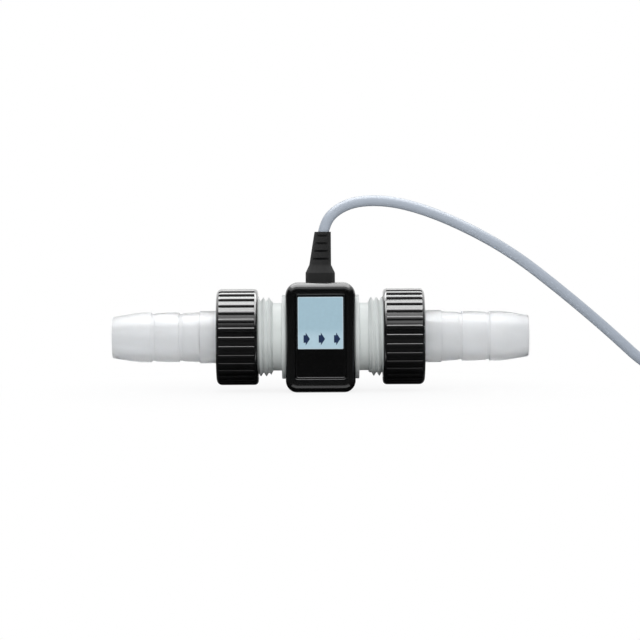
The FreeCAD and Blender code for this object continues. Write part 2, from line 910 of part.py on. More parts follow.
def make_label_plate():
    """The pale plate on the panel's upper part that carries the flow arrows."""
    middle = recess_top - size.label_top_margin - size.label_height / 2
    return make_plate(
        "label_plate",
        panel_width - 2 * size.label_side_margin,
        size.label_height,
        size.label_thickness,
        middle,
        recess_floor + size.panel_thickness,
        size.label_corner,
    )


# ---------------------------------------------------------------- electronics


def make_circuit_board():
    """The board over the tube's waist, resting on a ledge in each housing half."""
    body = new_body("circuit_board")
    sketch = new_sketch(body, "board_outline", "XY_Plane", board_bottom)
    half_length = board_length / 2
    draw_rectangle(sketch, -board_width / 2, -half_length, board_width / 2, half_length)
    add_feature(body, "Pad", "board", sketch, Length=size.board_thickness)
    return body


def make_hall_sensor():
    """The Hall sensor, under the board and against the tube, over the turbine's magnets."""
    sensor = primitive(
        "Box",
        "hall_sensor",
        Length=size.sensor_width,
        Width=size.sensor_length,
        Height=size.sensor_height,
    )
    place(sensor, -size.sensor_width / 2, -size.sensor_length / 2, sensor_bottom)
    return sensor


def make_board_parts():
    """The driver chip, a capacitor and a row of resistors on the board."""
    chip = primitive(
        "Box", "driver_chip", Length=size.chip_size, Width=size.chip_size, Height=size.chip_height
    )
    chip_y = board_length / 2 - 2 * size.chip_size
    place(chip, -size.chip_size / 2, chip_y, board_top)
    capacitor = primitive(
        "Cylinder", "capacitor", Radius=size.capacitor_diameter / 2, Height=capacitor_height
    )
    place(capacitor, Term(0), -board_length / 2 + 1.5 * size.capacitor_diameter, board_top)
    parts = [chip, capacitor]
    for index in range(3):
        resistor = primitive(
            "Box",
            f"resistor_{index + 1}",
            Length=size.resistor_length,
            Width=size.resistor_width,
            Height=size.resistor_height,
        )
        row_start = size.boot_flange_diameter / 2 + size.resistor_room + size.resistor_width
        row_y = -row_start - index * size.resistor_pitch
        place(resistor, -size.resistor_length / 2, row_y, board_top)
        parts.append(resistor)
    return grouped("board_parts", parts)


def make_board_wires():
    """Three insulated wires from the cable's cut end down to the board."""
    wires = []
    for index in range(3):
        angle = math.radians(90 + 120 * index)
        wire = primitive(
            "Cylinder",
            f"board_wire_{index + 1}",
            Radius=size.wire_diameter / 2,
            Height=boot_flange_bottom - board_top,
        )
        across = size.wire_circle / 2 * math.cos(angle)
        along = size.wire_circle / 2 * math.sin(angle)
        place(wire, across, along, board_top)
        wires.append(wire)
    return grouped("board_wires", wires)


# ---------------------------------------------------------------- strain relief


def make_cable_boot():
    """The moulded boot: flanged base held between the halves, and a leaning taper slotted front and back."""
    body = new_body("cable_boot")
    bore = cable_radius + size.cable_room
    base = size.boot_base_diameter / 2
    neck = size.boot_neck_diameter / 2
    flange = size.boot_flange_diameter / 2
    foot = half_height + size.boot_base_height
    corners = [
        (bore, boot_flange_bottom),
        (flange, boot_flange_bottom),
        (flange, boot_flange_top),
        (neck, boot_flange_top),
        (neck, half_height),
        (base, half_height),
        (base, foot),
        (size.boot_taper_diameter / 2, taper_bottom),
        (bore, taper_bottom),
    ]
    revolve(body, "base", corners, axis="V_Axis", role="XZ_Plane")
    sections = []
    for label, up, across, radius in (
        ("taper_foot", taper_bottom, Term(0), size.boot_taper_diameter / 2),
        ("taper_top", boot_top, size.boot_lean, size.boot_top_diameter / 2),
    ):
        sketch = new_sketch(body, label, "XY_Plane", up)
        draw_circle(sketch, across, Term(0), radius)
        draw_circle(sketch, across, Term(0), bore)
        sections.append(sketch)
    taper = body.newObject("PartDesign::AdditiveLoft", "taper")
    taper.Profile = sections[0]
    taper.Sections = [sections[1]]
    taper.Ruled = True
    body.Tip = taper
    for side, reverse in ((-1, False), (1, True)):
        for index in range(int(size.slot_count.number)):
            cut_boot_slot(body, index, side, reverse)
    return body


def cut_boot_slot(body, index, side, reverse):
    """One slot across the taper's front or back, which stops short of the rails at its sides."""
    low = taper_bottom + size.slot_first + index * size.slot_pitch
    climb = (low + size.slot_height / 2 - taper_bottom) / size.boot_taper_height
    shrink = size.boot_taper_diameter - size.boot_top_diameter
    radius = (size.boot_taper_diameter - climb * shrink) / 2
    middle = climb * size.boot_lean
    half_slot = radius - size.slot_rail
    name = "front" if side < 0 else "rear"
    skin = cable_radius + size.cable_room + size.slot_skin
    sketch = new_sketch(body, f"{name}_slot_{index + 1}_outline", "XZ_Plane", -side * skin)
    draw_rectangle(sketch, middle - half_slot, low, middle + half_slot, low + size.slot_height)
    label = f"{name}_slot_{index + 1}"
    reach = size.boot_taper_diameter / 2
    add_feature(body, "Pocket", label, sketch, Length=reach, Reversed=not reverse)


# ---------------------------------------------------------------- cable


def rounded_path(points, largest_share=0.45):
    """Straight runs joined by tangent arcs, each as large as its two runs allow. Returns edges and radii."""
    runs = [(after - before).Length for before, after in zip(points, points[1:])]
    edges, radii = [], []
    start = points[0]
    for index in range(1, len(points) - 1):
        corner = points[index]
        back = (points[index - 1] - corner).normalize()
        onward = (points[index + 1] - corner).normalize()
        turn = math.pi - back.getAngle(onward)
        leg = largest_share * min(runs[index - 1], runs[index])
        radius = leg / math.tan(turn / 2)
        entry, leave = corner + back * leg, corner + onward * leg
        middle_way = (back + onward).normalize()
        middle = corner + middle_way * (radius / math.cos(turn / 2) - radius)
        edges.append(Part.LineSegment(start, entry).toShape())
        edges.append(Part.Arc(entry, middle, leave).toShape())
        radii.append(radius)
        start = leave
    edges.append(Part.LineSegment(start, points[-1]).toShape())
    return edges, radii


def tube_solid(points, radius):
    """A round solid along a route, with the route's length and its arcs' radii."""
    edges, radii = rounded_path(points)
    wire = Part.Wire(edges)
    way = (points[1] - points[0]).normalize()
    ring = Part.Wire([Part.makeCircle(radius, points[0], way)])
    return wire.makePipeShell([ring], True, True), wire.Length, radii


def tube_along(label, points, radius):
    """A cord's sub-part, its volume compared with its section times its length."""
    solid, length, radii = tube_solid(points, radius)
    expected = math.pi * radius**2 * length
    print(f"{label}: arc radii", " ".join(f"{bend:.1f}" for bend in radii), "mm,", end=" ")
    print(f"length {length:.1f} mm, volume {solid.Volume:.1f} of {expected:.1f} mm3")
    item = doc.addObject("Part::Feature", label)
    item.Shape = solid
    item.Placement = Placement()
    return item


# The free cable as it lies: up out of the boot, over in one arch, and down to the coil beside the meter.
ARCH = [
    (7.0, 0.0, 53.9),
    (17.5, 0.1, 57.6),
    (34.0, 0.6, 56.6),
    (55.1, 2.4, 49.3),
    (80.3, 6.2, 36.0),
    (103.9, 11.4, 17.7),
    (124.4, 16.0, 0.3),
    (138.7, 18.2, -13.1),
    (153.5, 18.9, -20.1),
]
BOOT_CLEAR = 2.8
CORE_RUNS = 3
TIE_ANGLES = (200, 345)
FREE_END_RUNS = 3
CORE_FAN_START = 1.05
CORE_FAN = 0.45


def cable_points():
    """The route's corners, from the board up the boot's bore and along the arch to the coil's edge."""
    lean = size.boot_lean.number / size.boot_taper_height.number
    rise = size.boot_taper_height.number + BOOT_CLEAR
    start = Vector(0, 0, boot_flange_bottom.number)
    foot = Vector(0, 0, taper_bottom.number)
    clear = Vector(lean * rise, 0, foot.z + rise)
    coil_entry = Vector(
        size.coil_centre_x.number,
        (size.coil_centre_y + size.coil_radius + coil_width / 2 - cable_radius).number,
        coil_bottom.number + cable_radius.number,
    )
    return [start, foot, clear] + [Vector(*point) for point in ARCH] + [coil_entry]


def coil_point(angle, radius, up):
    """A point over the coil, by its angle about the coil's centre."""
    turn = math.radians(angle)
    centre_x, centre_y = size.coil_centre_x.number, size.coil_centre_y.number
    return Vector(centre_x + radius * math.cos(turn), centre_y + radius * math.sin(turn), up)


def make_cable_coil():
    """The put-away length: one ring of the outer shape of its bundled turns."""
    body = new_body("cable_coil")
    inner = size.coil_radius - coil_width / 2
    outer = size.coil_radius + coil_width / 2
    break_in = cable_radius / 2
    corners = [
        (inner + break_in, coil_bottom),
        (outer - break_in, coil_bottom),
        (outer, coil_bottom + break_in),
        (outer, coil_top - break_in),
        (outer - break_in, coil_top),
        (inner + break_in, coil_top),
        (inner, coil_top - break_in),
        (inner, coil_bottom + break_in),
    ]
    revolve(body, "ring", corners, axis="V_Axis", role="XZ_Plane")
    body.Placement = Placement(Vector(), Rotation())
    bind(body, "Placement.Base.x", size.coil_centre_x)
    bind(body, "Placement.Base.y", size.coil_centre_y)
    return body


def make_cable_ties():
    """Two ties round the bundle, which also lift it off the surface by their own thickness."""
    ties = []
    inner_width = coil_width + 2 * size.tie_room
    outer_width = inner_width + 2 * size.tie_thickness
    inner_height = coil_height + size.tie_room
    outer_height = inner_height + 2 * size.tie_thickness
    for index, angle in enumerate(TIE_ANGLES, start=1):
        turn = Rotation(Z_WAY, angle)
        way = turn.multVec(X_WAY)
        side = turn.multVec(Y_WAY)

        def set_at(item, radial, sideways, up):
            across = size.coil_centre_x + radial * way.x + sideways * side.x
            along = size.coil_centre_y + radial * way.y + sideways * side.y
            place(item, across, along, up, turn)

        band = primitive(
            "Box", f"tie_band_{index}", Length=outer_width, Width=size.tie_width, Height=outer_height
        )
        set_at(band, size.coil_radius - outer_width / 2, -size.tie_width / 2, floor_z)
        window = primitive(
            "Box", f"tie_window_{index}", Length=inner_width, Width=2 * size.tie_width, Height=inner_height
        )
        set_at(window, size.coil_radius - inner_width / 2, -size.tie_width, coil_bottom)
        head = primitive(
            "Box",
            f"tie_head_{index}",
            Length=size.tie_head_depth,
            Width=size.tie_head_width,
            Height=size.tie_head_height,
        )
        head_up = floor_z + outer_height / 2 - size.tie_head_height / 2
        head_radial = size.coil_radius + inner_width / 2
        set_at(head, head_radial, -size.tie_head_width / 2, head_up)
        loop = doc.addObject("Part::Cut", f"tie_loop_{index}")
        loop.Base = band
        loop.Tool = window
        tie = doc.addObject("Part::Fuse", f"tie_{index}")
        tie.Base = loop
        tie.Tool = head
        ties.append(tie)
    return grouped("cable_ties", ties)


def make_free_end():
    """The cable's last stretch, lying on the coil, with its three cores and their ferrules."""
    radius = size.coil_radius.number
    top = coil_top.number
    jacket_up = top + cable_radius.number
    start_angle = size.free_end_start.number
    end_angle = start_angle - size.free_end_angle.number
    step = size.free_end_angle.number / FREE_END_RUNS
    jacket = [coil_point(start_angle - step * index, radius, jacket_up) for index in range(FREE_END_RUNS + 1)]
    cable_end = tube_along("cable_end", jacket, cable_radius.number)
    core_radius = size.core_diameter.number / 2
    core_step = math.degrees(size.core_length.number / CORE_RUNS / radius)
    cores, ferrules = [], []
    for index in (-1, 0, 1):
        route = []
        for run in range(CORE_RUNS + 1):
            fan = index * size.core_diameter.number * (CORE_FAN_START + CORE_FAN * run)
            up = top + core_radius + (core_radius if run == 0 else 0)
            route.append(coil_point(end_angle - core_step * run, radius + fan, up))
        cores.append(tube_solid(route, core_radius)[0])
        way = (route[-1] - route[-2]).normalize()
        bare = size.ferrule_diameter.number / 2
        ferrules.append(Part.makeCylinder(bare, size.ferrule_length.number, route[-1], way))
    made = [cable_end]
    for label, solids in (("lead_cores", cores), ("core_ferrules", ferrules)):
        item = doc.addObject("Part::Feature", label)
        item.Shape = Part.makeCompound(solids)
        item.Placement = Placement()
        made.append(item)
    return made


# ---------------------------------------------------------------- the whole meter

SUB_PARTS = [
    make_flow_tube(),
    make_union_nut("inlet_union_nut", -1, size.inlet_nut_angle),
    make_union_nut("outlet_union_nut", 1, size.outlet_nut_angle),
    make_hose_tail("inlet_hose_tail", -1),
    make_hose_tail("outlet_hose_tail", 1),
    make_face_seal("inlet_face_seal", -1),
    make_face_seal("outlet_face_seal", 1),
    make_rotor(),
    make_rotor_magnets(),
    make_rotor_shaft(),
    make_bearing("inlet_bearing", -1),
    make_bearing("outlet_bearing", 1),
    make_spider("inlet_spider", -1),
    make_spider("outlet_spider", 1),
    make_retaining_ring("inlet_retaining_ring", -1),
    make_retaining_ring("outlet_retaining_ring", 1),
    make_housing_half("front_housing", True),
    make_housing_half("rear_housing", False),
    make_housing_screws(),
    make_waist_seal("inlet_waist_seal", -1),
    make_waist_seal("outlet_waist_seal", 1),
    make_front_panel(),
    make_label_plate(),
    make_circuit_board(),
    make_hall_sensor(),
    make_board_parts(),
    make_board_wires(),
    make_cable_boot(),
    tube_along("cable", cable_points(), cable_radius.number),
    make_cable_coil(),
    make_cable_ties(),
]
SUB_PARTS += make_free_end()

doc.recompute()
for item in doc.Objects:
    for state in ("Invalid", "Error"):
        if state in item.State:
            raise RuntimeError(f"{item.Name} is {state}")
for item in SUB_PARTS:
    if item.Shape.isNull() or not item.Shape.isValid():
        raise RuntimeError(f"{item.Label} has no valid shape")

os.makedirs("parts", exist_ok=True)
for item in SUB_PARTS:
    item.Shape.exportStep(f"parts/{item.Label}.step")
print(len(SUB_PARTS), "sub-parts")
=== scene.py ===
"""Dresses a turbine flow meter: white threaded tube, black ribbed unions, hose tails and a pulse sensor."""

import logging
import math
from dataclasses import dataclass
from enum import Enum
from typing import Callable, ClassVar, Iterable

import bmesh
import bpy
from mathutils import Matrix, Vector


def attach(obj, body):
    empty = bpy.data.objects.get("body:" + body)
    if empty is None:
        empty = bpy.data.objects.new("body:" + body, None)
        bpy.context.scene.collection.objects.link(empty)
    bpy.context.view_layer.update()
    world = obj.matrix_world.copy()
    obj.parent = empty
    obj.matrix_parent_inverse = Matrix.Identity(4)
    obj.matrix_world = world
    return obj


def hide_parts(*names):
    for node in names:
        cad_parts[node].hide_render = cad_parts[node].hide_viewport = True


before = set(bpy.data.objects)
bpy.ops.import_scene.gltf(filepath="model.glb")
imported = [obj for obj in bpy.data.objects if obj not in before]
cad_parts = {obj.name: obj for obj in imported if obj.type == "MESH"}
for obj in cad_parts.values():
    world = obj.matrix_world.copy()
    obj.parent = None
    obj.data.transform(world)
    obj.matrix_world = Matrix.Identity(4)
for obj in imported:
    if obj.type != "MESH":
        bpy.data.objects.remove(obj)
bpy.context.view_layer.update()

MM = 0.001
FULL_TURN = 2 * math.pi
LOG = logging.getLogger("flow_meter")

Colour = tuple[float, float, float]
Point = tuple[float, float, float]


class Body(Enum):
    """The bodies that the pieces ride on."""

    METER = "meter_body"
    TURBINE = "turbine"
    INLET_TAIL = "inlet_tail"
    INLET_NUT = "inlet_nut"
    OUTLET_TAIL = "outlet_tail"
    OUTLET_NUT = "outlet_nut"


class Side(Enum):
    """The two ends of the flow axis."""

    INLET = -1
    OUTLET = 1

    @property
    def word(self) -> str:
        """The side's name as the nodes spell it."""
        return self.name.lower()

    @property
    def tail_body(self) -> Body:
        """The body of this side's hose tail."""
        return Body[f"{self.name}_TAIL"]

    @property
    def nut_body(self) -> Body:
        """The body of this side's union nut."""
        return Body[f"{self.name}_NUT"]


# ---------------------------------------------------------------- finishes


class Wiring:
    """A material's node tree, with the few node chains that the finishes share."""

    def __init__(self, name: str) -> None:
        """Starts an empty node tree with a Principled shader.

        Args:
            name: The material's name.
        """
        self.material = bpy.data.materials.new(name)
        self.material.use_nodes = True
        self.tree = self.material.node_tree
        self.tree.nodes.clear()
        self.shader = self.tree.nodes.new("ShaderNodeBsdfPrincipled")
        self.output = self.tree.nodes.new("ShaderNodeOutputMaterial")
        self.link(self.shader.outputs["BSDF"], self.output.inputs["Surface"])
        self.place = self.tree.nodes.new("ShaderNodeTexCoord").outputs["Object"]

    def link(self, source: bpy.types.NodeSocket, target: bpy.types.NodeSocket) -> None:
        """Joins two sockets."""
        self.tree.links.new(source, target)

    def node(self, kind: str, **settings: object) -> bpy.types.Node:
        """Adds a node.

        Args:
            kind: The node's type without its ShaderNode prefix.
            settings: Properties of the node.

        Returns:
            The new node.
        """
        made = self.tree.nodes.new(f"ShaderNode{kind}")
        for key, value in settings.items():
            setattr(made, key, value)
        return made

    def mapped(self, stretch: Point = (1, 1, 1), offset: Point = (0, 0, 0)) -> bpy.types.NodeSocket:
        """Object coordinates, moved and stretched.

        Args:
            stretch: The scale along each axis.
            offset: The shift in metres, applied after the scale.

        Returns:
            The mapped vector.
        """
        mapping = self.node("Mapping")
        mapping.inputs["Scale"].default_value = stretch
        mapping.inputs["Location"].default_value = offset
        self.link(self.place, mapping.inputs["Vector"])
        return mapping.outputs["Vector"]

    def noise(self, size: float, detail: float = 3.0, stretch: Point = (1, 1, 1)) -> bpy.types.NodeSocket:
        """A noise between 0 and 1.

        Args:
            size: The width of one lump in metres.
            detail: How many finer layers it has.
            stretch: The scale along each axis.

        Returns:
            The noise value.
        """
        noise = self.node("TexNoise")
        noise.inputs["Scale"].default_value = 1 / size
        noise.inputs["Detail"].default_value = detail
        self.link(self.mapped(stretch), noise.inputs["Vector"])
        return noise.outputs["Fac"]

    def ranged(self, value: bpy.types.NodeSocket, low: float, high: float) -> bpy.types.NodeSocket:
        """A 0 to 1 value stretched to another range.

        Args:
            value: The value; noise mostly lies between 0.3 and 0.7.
            low: The result where the value is 0.3 or less.
            high: The result where the value is 0.7 or more.

        Returns:
            The new value.
        """
        spread = self.node("MapRange")
        spread.inputs["From Min"].default_value = 0.3
        spread.inputs["From Max"].default_value = 0.7
        spread.inputs["To Min"].default_value = low
        spread.inputs["To Max"].default_value = high
        self.link(value, spread.inputs["Value"])
        return spread.outputs["Result"]

    def blended(
        self, amount: bpy.types.NodeSocket, first: Colour, second: Colour
    ) -> bpy.types.NodeSocket:
        """A colour that runs from one to another.

        Args:
            amount: 0 for the first colour, 1 for the second.
            first: Linear red, green and blue.
            second: Linear red, green and blue.

        Returns:
            The mixed colour.
        """
        mix = self.node("Mix", data_type="RGBA")
        mix.inputs[6].default_value = (*first, 1)
        mix.inputs[7].default_value = (*second, 1)
        self.link(amount, mix.inputs[0])
        return mix.outputs[2]

    def bumped(
        self,
        height: bpy.types.NodeSocket,
        depth: float,
        under: bpy.types.NodeSocket | None = None,
        strength: float = 1.0,
    ) -> bpy.types.NodeSocket:
        """A normal that follows a height.

        Args:
            height: A 0 to 1 height.
            depth: The height of 1, in metres.
            under: A coarser normal that this one lies on.
            strength: How much of the bump shows.

        Returns:
            The bumped normal.
        """
        bump = self.node("Bump")
        bump.inputs["Distance"].default_value = depth
        bump.inputs["Strength"].default_value = strength
        self.link(height, bump.inputs["Height"])
        if under is not None:
            self.link(under, bump.inputs["Normal"])
        return bump.outputs["Normal"]


def tinted(colour: Colour, share: float) -> Colour:
    """A colour made lighter or darker.

    Args:
        colour: Linear red, green and blue.
        share: What each channel is multiplied by.

    Returns:
        The new colour, at most 1 in each channel.
    """
    return tuple(min(1.0, channel * share) for channel in colour)


@dataclass(frozen=True)
class Moulding:
    """A moulded plastic, rubber or ceramic: mottled colour, uneven gloss, soft swells and a fine grain."""

    name: str
    colour: Colour
    roughness: float
    gloss_drift: float = 0.06
    mottle: float = 0.05
    mottle_size: float = 6 * MM
    grain: float = 0.35 * MM
    grain_depth: float = 0.004 * MM
    swell: float = 7 * MM
    swell_depth: float = 0.02 * MM
    specular: float = 0.5
    coat: float = 0.0
    subsurface: float = 0.0
    scatter: float = 1.5 * MM
    transmission: float = 0.0
    sheen: float = 0.0

    def material(self) -> bpy.types.Material:
        """Builds the material, or returns it if it was built before."""
        made = bpy.data.materials.get(self.name)
        if made is not None:
            return made
        wiring = Wiring(self.name)
        shader = wiring.shader.inputs
        cloud = wiring.ranged(wiring.noise(self.mottle_size), 0, 1)
        pale, dark = tinted(self.colour, 1 + self.mottle), tinted(self.colour, 1 - self.mottle)
        wiring.link(wiring.blended(cloud, dark, pale), shader["Base Color"])
        gloss = wiring.noise(self.mottle_size / 3, 4)
        low, high = self.roughness - self.gloss_drift, self.roughness + self.gloss_drift
        wiring.link(wiring.ranged(gloss, max(0.02, low), high), shader["Roughness"])
        swell = wiring.bumped(wiring.noise(self.swell, 1), self.swell_depth)
        grain = wiring.bumped(wiring.noise(self.grain, 2), self.grain_depth, swell)
        wiring.link(grain, shader["Normal"])
        shader["Specular IOR Level"].default_value = self.specular
        shader["Coat Weight"].default_value = self.coat
        shader["Coat Roughness"].default_value = 0.08
        shader["Subsurface Weight"].default_value = self.subsurface
        shader["Subsurface Radius"].default_value = (1.0, 0.95, 0.9)
        shader["Subsurface Scale"].default_value = self.scatter
        shader["Transmission Weight"].default_value = self.transmission
        shader["Sheen Weight"].default_value = self.sheen
        return wiring.material


@dataclass(frozen=True)
class Metal:
    """A bright metal with fine drawn lines along one axis."""

    name: str
    colour: Colour
    roughness: float
    line: Point = (1.0, 12.0, 12.0)
    line_size: float = 1.5 * MM
    line_depth: float = 0.003 * MM

    def material(self) -> bpy.types.Material:
        """Builds the material, or returns it if it was built before."""
        made = bpy.data.materials.get(self.name)
        if made is not None:
            return made
        wiring = Wiring(self.name)
        shader = wiring.shader.inputs
        lines = wiring.noise(self.line_size, 4, self.line)
        cloud = wiring.ranged(wiring.noise(3 * MM), 0, 1)
        wiring.link(wiring.blended(cloud, tinted(self.colour, 0.9), self.colour), shader["Base Color"])
        wiring.link(wiring.ranged(lines, self.roughness * 0.7, self.roughness * 1.3), shader["Roughness"])
        wiring.link(wiring.bumped(lines, self.line_depth), shader["Normal"])
        shader["Metallic"].default_value = 1.0
        return wiring.material


@dataclass(frozen=True)
class PrintedFilm:
    """The label's film: pale blue, lighter towards its foot and along its rim, under a thin lacquer."""

    name: str
    colour: Colour
    foot_colour: Colour
    rim_colour: Colour
    low: float
    high: float
    middle: Point
    half_width: float
    half_height: float
    rim: float = 0.45 * MM

    def material(self) -> bpy.types.Material:
        """Builds the material, or returns it if it was built before."""
        made = bpy.data.materials.get(self.name)
        if made is not None:
            return made
        wiring = Wiring(self.name)
        shader = wiring.shader.inputs
        split = wiring.node("SeparateXYZ")
        wiring.link(wiring.place, split.inputs["Vector"])
        foot = wiring.node("MapRange", interpolation_type="SMOOTHSTEP")
        for socket, value in zip(("From Min", "From Max", "To Min", "To Max"), (self.low, self.high, 1, 0)):
            foot.inputs[socket].default_value = value
        wiring.link(split.outputs["Z"], foot.inputs["Value"])
        field_colour = wiring.blended(foot.outputs["Result"], self.colour, self.foot_colour)
        edge = self.edge_share(wiring, split)
        mix = wiring.node("Mix", data_type="RGBA")
        mix.inputs[7].default_value = (*self.rim_colour, 1)
        wiring.link(field_colour, mix.inputs[6])
        wiring.link(edge, mix.inputs[0])
        fibre = wiring.node("Mix", data_type="RGBA", blend_type="MULTIPLY")
        fibre.inputs[0].default_value = 1.0
        wiring.link(mix.outputs[2], fibre.inputs[6])
        tone = wiring.ranged(wiring.noise(1.2 * MM, 3), 0, 1)
        wiring.link(wiring.blended(tone, (0.96, 0.96, 0.96), (1, 1, 1)), fibre.inputs[7])
        wiring.link(fibre.outputs[2], shader["Base Color"])
        wiring.link(wiring.ranged(wiring.noise(2 * MM, 3), 0.42, 0.55), shader["Roughness"])
        wiring.link(wiring.bumped(wiring.noise(0.25 * MM, 2), 0.003 * MM), shader["Normal"])
        shader["Specular IOR Level"].default_value = 0.3
        return wiring.material

    def edge_share(self, wiring: Wiring, split: bpy.types.Node) -> bpy.types.NodeSocket:
        """How near a point is to the film's rim.

        Args:
            wiring: The material's node tree.
            split: The node that gives the point's own x, y and z.

        Returns:
            1 at the rim, falling to 0 a rim's width inside it.
        """
        shares = []
        spans = (("X", self.middle[0], self.half_width), ("Z", self.middle[2], self.half_height))
        for axis, centre, half in spans:
            away = wiring.node("Math", operation="SUBTRACT")
            away.inputs[1].default_value = centre
            wiring.link(split.outputs[axis], away.inputs[0])
            size = wiring.node("Math", operation="ABSOLUTE")
            wiring.link(away.outputs[0], size.inputs[0])
            near = wiring.node("MapRange")
            near.inputs["From Min"].default_value = half - self.rim
            near.inputs["From Max"].default_value = half - self.rim / 2
            wiring.link(size.outputs[0], near.inputs["Value"])
            shares.append(near.outputs["Result"])
        most = wiring.node("Math", operation="MAXIMUM")
        wiring.link(shares[0], most.inputs[0])
        wiring.link(shares[1], most.inputs[1])
        return most.outputs[0]


@dataclass(frozen=True)
class CoreColours:
    """The insulation of three cores, told apart by their distance from the coil's middle."""

    name: str
    centre: Point
    steps: tuple[tuple[float, Colour], ...]

    def material(self) -> bpy.types.Material:
        """Builds the material, or returns it if it was built before."""
        made = bpy.data.materials.get(self.name)
        if made is not None:
            return made
        wiring = Wiring(self.name)
        shader = wiring.shader.inputs
        flat = wiring.node("VectorMath", operation="MULTIPLY")
        flat.inputs[1].default_value = (1, 1, 0)
        offset = tuple(-value for value in self.centre)
        wiring.link(wiring.mapped(offset=offset), flat.inputs[0])
        reach = wiring.node("VectorMath", operation="LENGTH")
        wiring.link(flat.outputs[0], reach.inputs[0])
        colour = None
        for start, tint in self.steps:
            if colour is None:
                first = wiring.node("Mix", data_type="RGBA")
                first.inputs[0].default_value = 0.0
                first.inputs[6].default_value = (*tint, 1)
                colour = first.outputs[2]
                continue
            past = wiring.node("Math", operation="GREATER_THAN")
            past.inputs[1].default_value = start
            wiring.link(reach.outputs["Value"], past.inputs[0])
            mix = wiring.node("Mix", data_type="RGBA")
            mix.inputs[7].default_value = (*tint, 1)
            wiring.link(past.outputs[0], mix.inputs[0])
            wiring.link(colour, mix.inputs[6])
            colour = mix.outputs[2]
        wiring.link(colour, shader["Base Color"])
        wiring.link(wiring.ranged(wiring.noise(1 * MM), 0.35, 0.5), shader["Roughness"])
        wiring.link(wiring.bumped(wiring.noise(0.4 * MM), 0.004 * MM), shader["Normal"])
        return wiring.material


Finish = Moulding | Metal | PrintedFilm | CoreColours

TUBE_WHITE = Moulding(
    "tube_white", (0.78, 0.81, 0.79), 0.42, mottle=0.03, subsurface=0.25, scatter=1.2 * MM, specular=0.25
)
TAIL_MILKY = Moulding(
    "tail_milky",
    (0.86, 0.87, 0.88),
    0.40,
    mottle=0.02,
    subsurface=0.6,
    scatter=6 * MM,
    specular=0.2,
    transmission=0.85,
)
NUT_BLACK = Moulding(
    "nut_black",
    (0.003, 0.0032, 0.0035),
    0.24,
    gloss_drift=0.03,
    mottle=0.15,
    grain=0.3 * MM,
    grain_depth=0.001 * MM,
    specular=1.0,
    coat=1.0,
)
HOUSING_BLACK = Moulding(
    "housing_black",
    (0.002, 0.0021, 0.0022),
    0.25,
    gloss_drift=0.02,
    mottle=0.1,
    grain=0.5 * MM,
    grain_depth=0.0003 * MM,
    swell=12 * MM,
    swell_depth=0.01 * MM,
    specular=0.7,
    coat=0.4,
)
PANEL_BLACK = Moulding(
    "panel_black", (0.0012, 0.0013, 0.0014), 0.12, gloss_drift=0.03, swell_depth=0.008 * MM
)
BOOT_RUBBER = Moulding(
    "boot_rubber", (0.003, 0.003, 0.004), 0.34, grain=0.3 * MM, grain_depth=0.001 * MM, specular=0.25
)
SEAL_RUBBER = Moulding("seal_rubber", (0.015, 0.015, 0.015), 0.5, grain=0.1 * MM, grain_depth=0.004 * MM)
ROTOR_WHITE = Moulding("rotor_white", (0.74, 0.76, 0.75), 0.4, subsurface=0.15, scatter=0.8 * MM)
CERAMIC_CREAM = Moulding("ceramic_cream", (0.80, 0.76, 0.66), 0.18, mottle=0.02, coat=0.3)
CHIP_BLACK = Moulding("chip_black", (0.02, 0.02, 0.022), 0.45, grain=0.1 * MM, grain_depth=0.006 * MM)
BOARD_GREEN = Moulding("board_green", (0.02, 0.16, 0.06), 0.3, mottle=0.2, mottle_size=2 * MM, coat=0.3)
JACKET_GREY = Moulding(
    "jacket_grey",
    (0.48, 0.53, 0.60),
    0.30,
    gloss_drift=0.02,
    mottle=0.03,
    grain=0.4 * MM,
    grain_depth=0.0005 * MM,
    swell_depth=0.005 * MM,
    specular=0.7,
)
TIE_NYLON = Moulding("tie_nylon", (0.02, 0.02, 0.02), 0.4, grain=0.2 * MM)
ARROW_NAVY = Moulding("arrow_navy", (0.012, 0.032, 0.10), 0.45, mottle=0.1, mottle_size=1 * MM)
LABEL_BLUE: Colour = (0.42, 0.60, 0.69)
LABEL_FOOT: Colour = (0.52, 0.70, 0.79)
LABEL_RIM: Colour = (0.60, 0.74, 0.80)
SPRING_STEEL = Metal("spring_steel", (0.56, 0.57, 0.58), 0.28)
SCREW_STEEL = Metal("screw_steel", (0.62, 0.62, 0.62), 0.25, line=(8, 1, 8))
MAGNET_NICKEL = Metal("magnet_nickel", (0.6, 0.58, 0.54), 0.2)
FERRULE_TIN = Metal("ferrule_tin", (0.72, 0.72, 0.70), 0.24)


# ---------------------------------------------------------------- mesh helpers


def lathe(outline: Iterable[tuple[float, float, float]], steps: int = 192) -> bmesh.types.BMesh:
    """Spins a closed outline round the flow axis.

    Args:
        outline: Corners as x, radius and fillet, in millimetres.
        steps: How many steps the full turn has.

    Returns:
        The turned form.
    """
    form = bmesh.new()
    corners = list(outline)
    verts = [form.verts.new((x * MM, 0, radius * MM)) for x, radius, _ in corners]
    for first, second in zip(verts, verts[1:] + verts[:1]):
        form.edges.new((first, second))
    by_fillet: dict[float, list[bmesh.types.BMVert]] = {}
    for vert, (_, _, fillet) in zip(verts, corners):
        if fillet > 0:
            by_fillet.setdefault(fillet, []).append(vert)
    for fillet, chosen in by_fillet.items():
        bmesh.ops.bevel(
            form,
            geom=chosen,
            offset=fillet * MM,
            offset_type="OFFSET",
            segments=5,
            profile=0.5,
            affect="VERTICES",
            material=-1,
        )
    bmesh.ops.spin(
        form,
        geom=form.verts[:] + form.edges[:],
        cent=(0, 0, 0),
        axis=(1, 0, 0),
        dvec=(0, 0, 0),
        angle=FULL_TURN,
        steps=steps,
        use_merge=True,
        use_duplicate=False,
    )
    return form


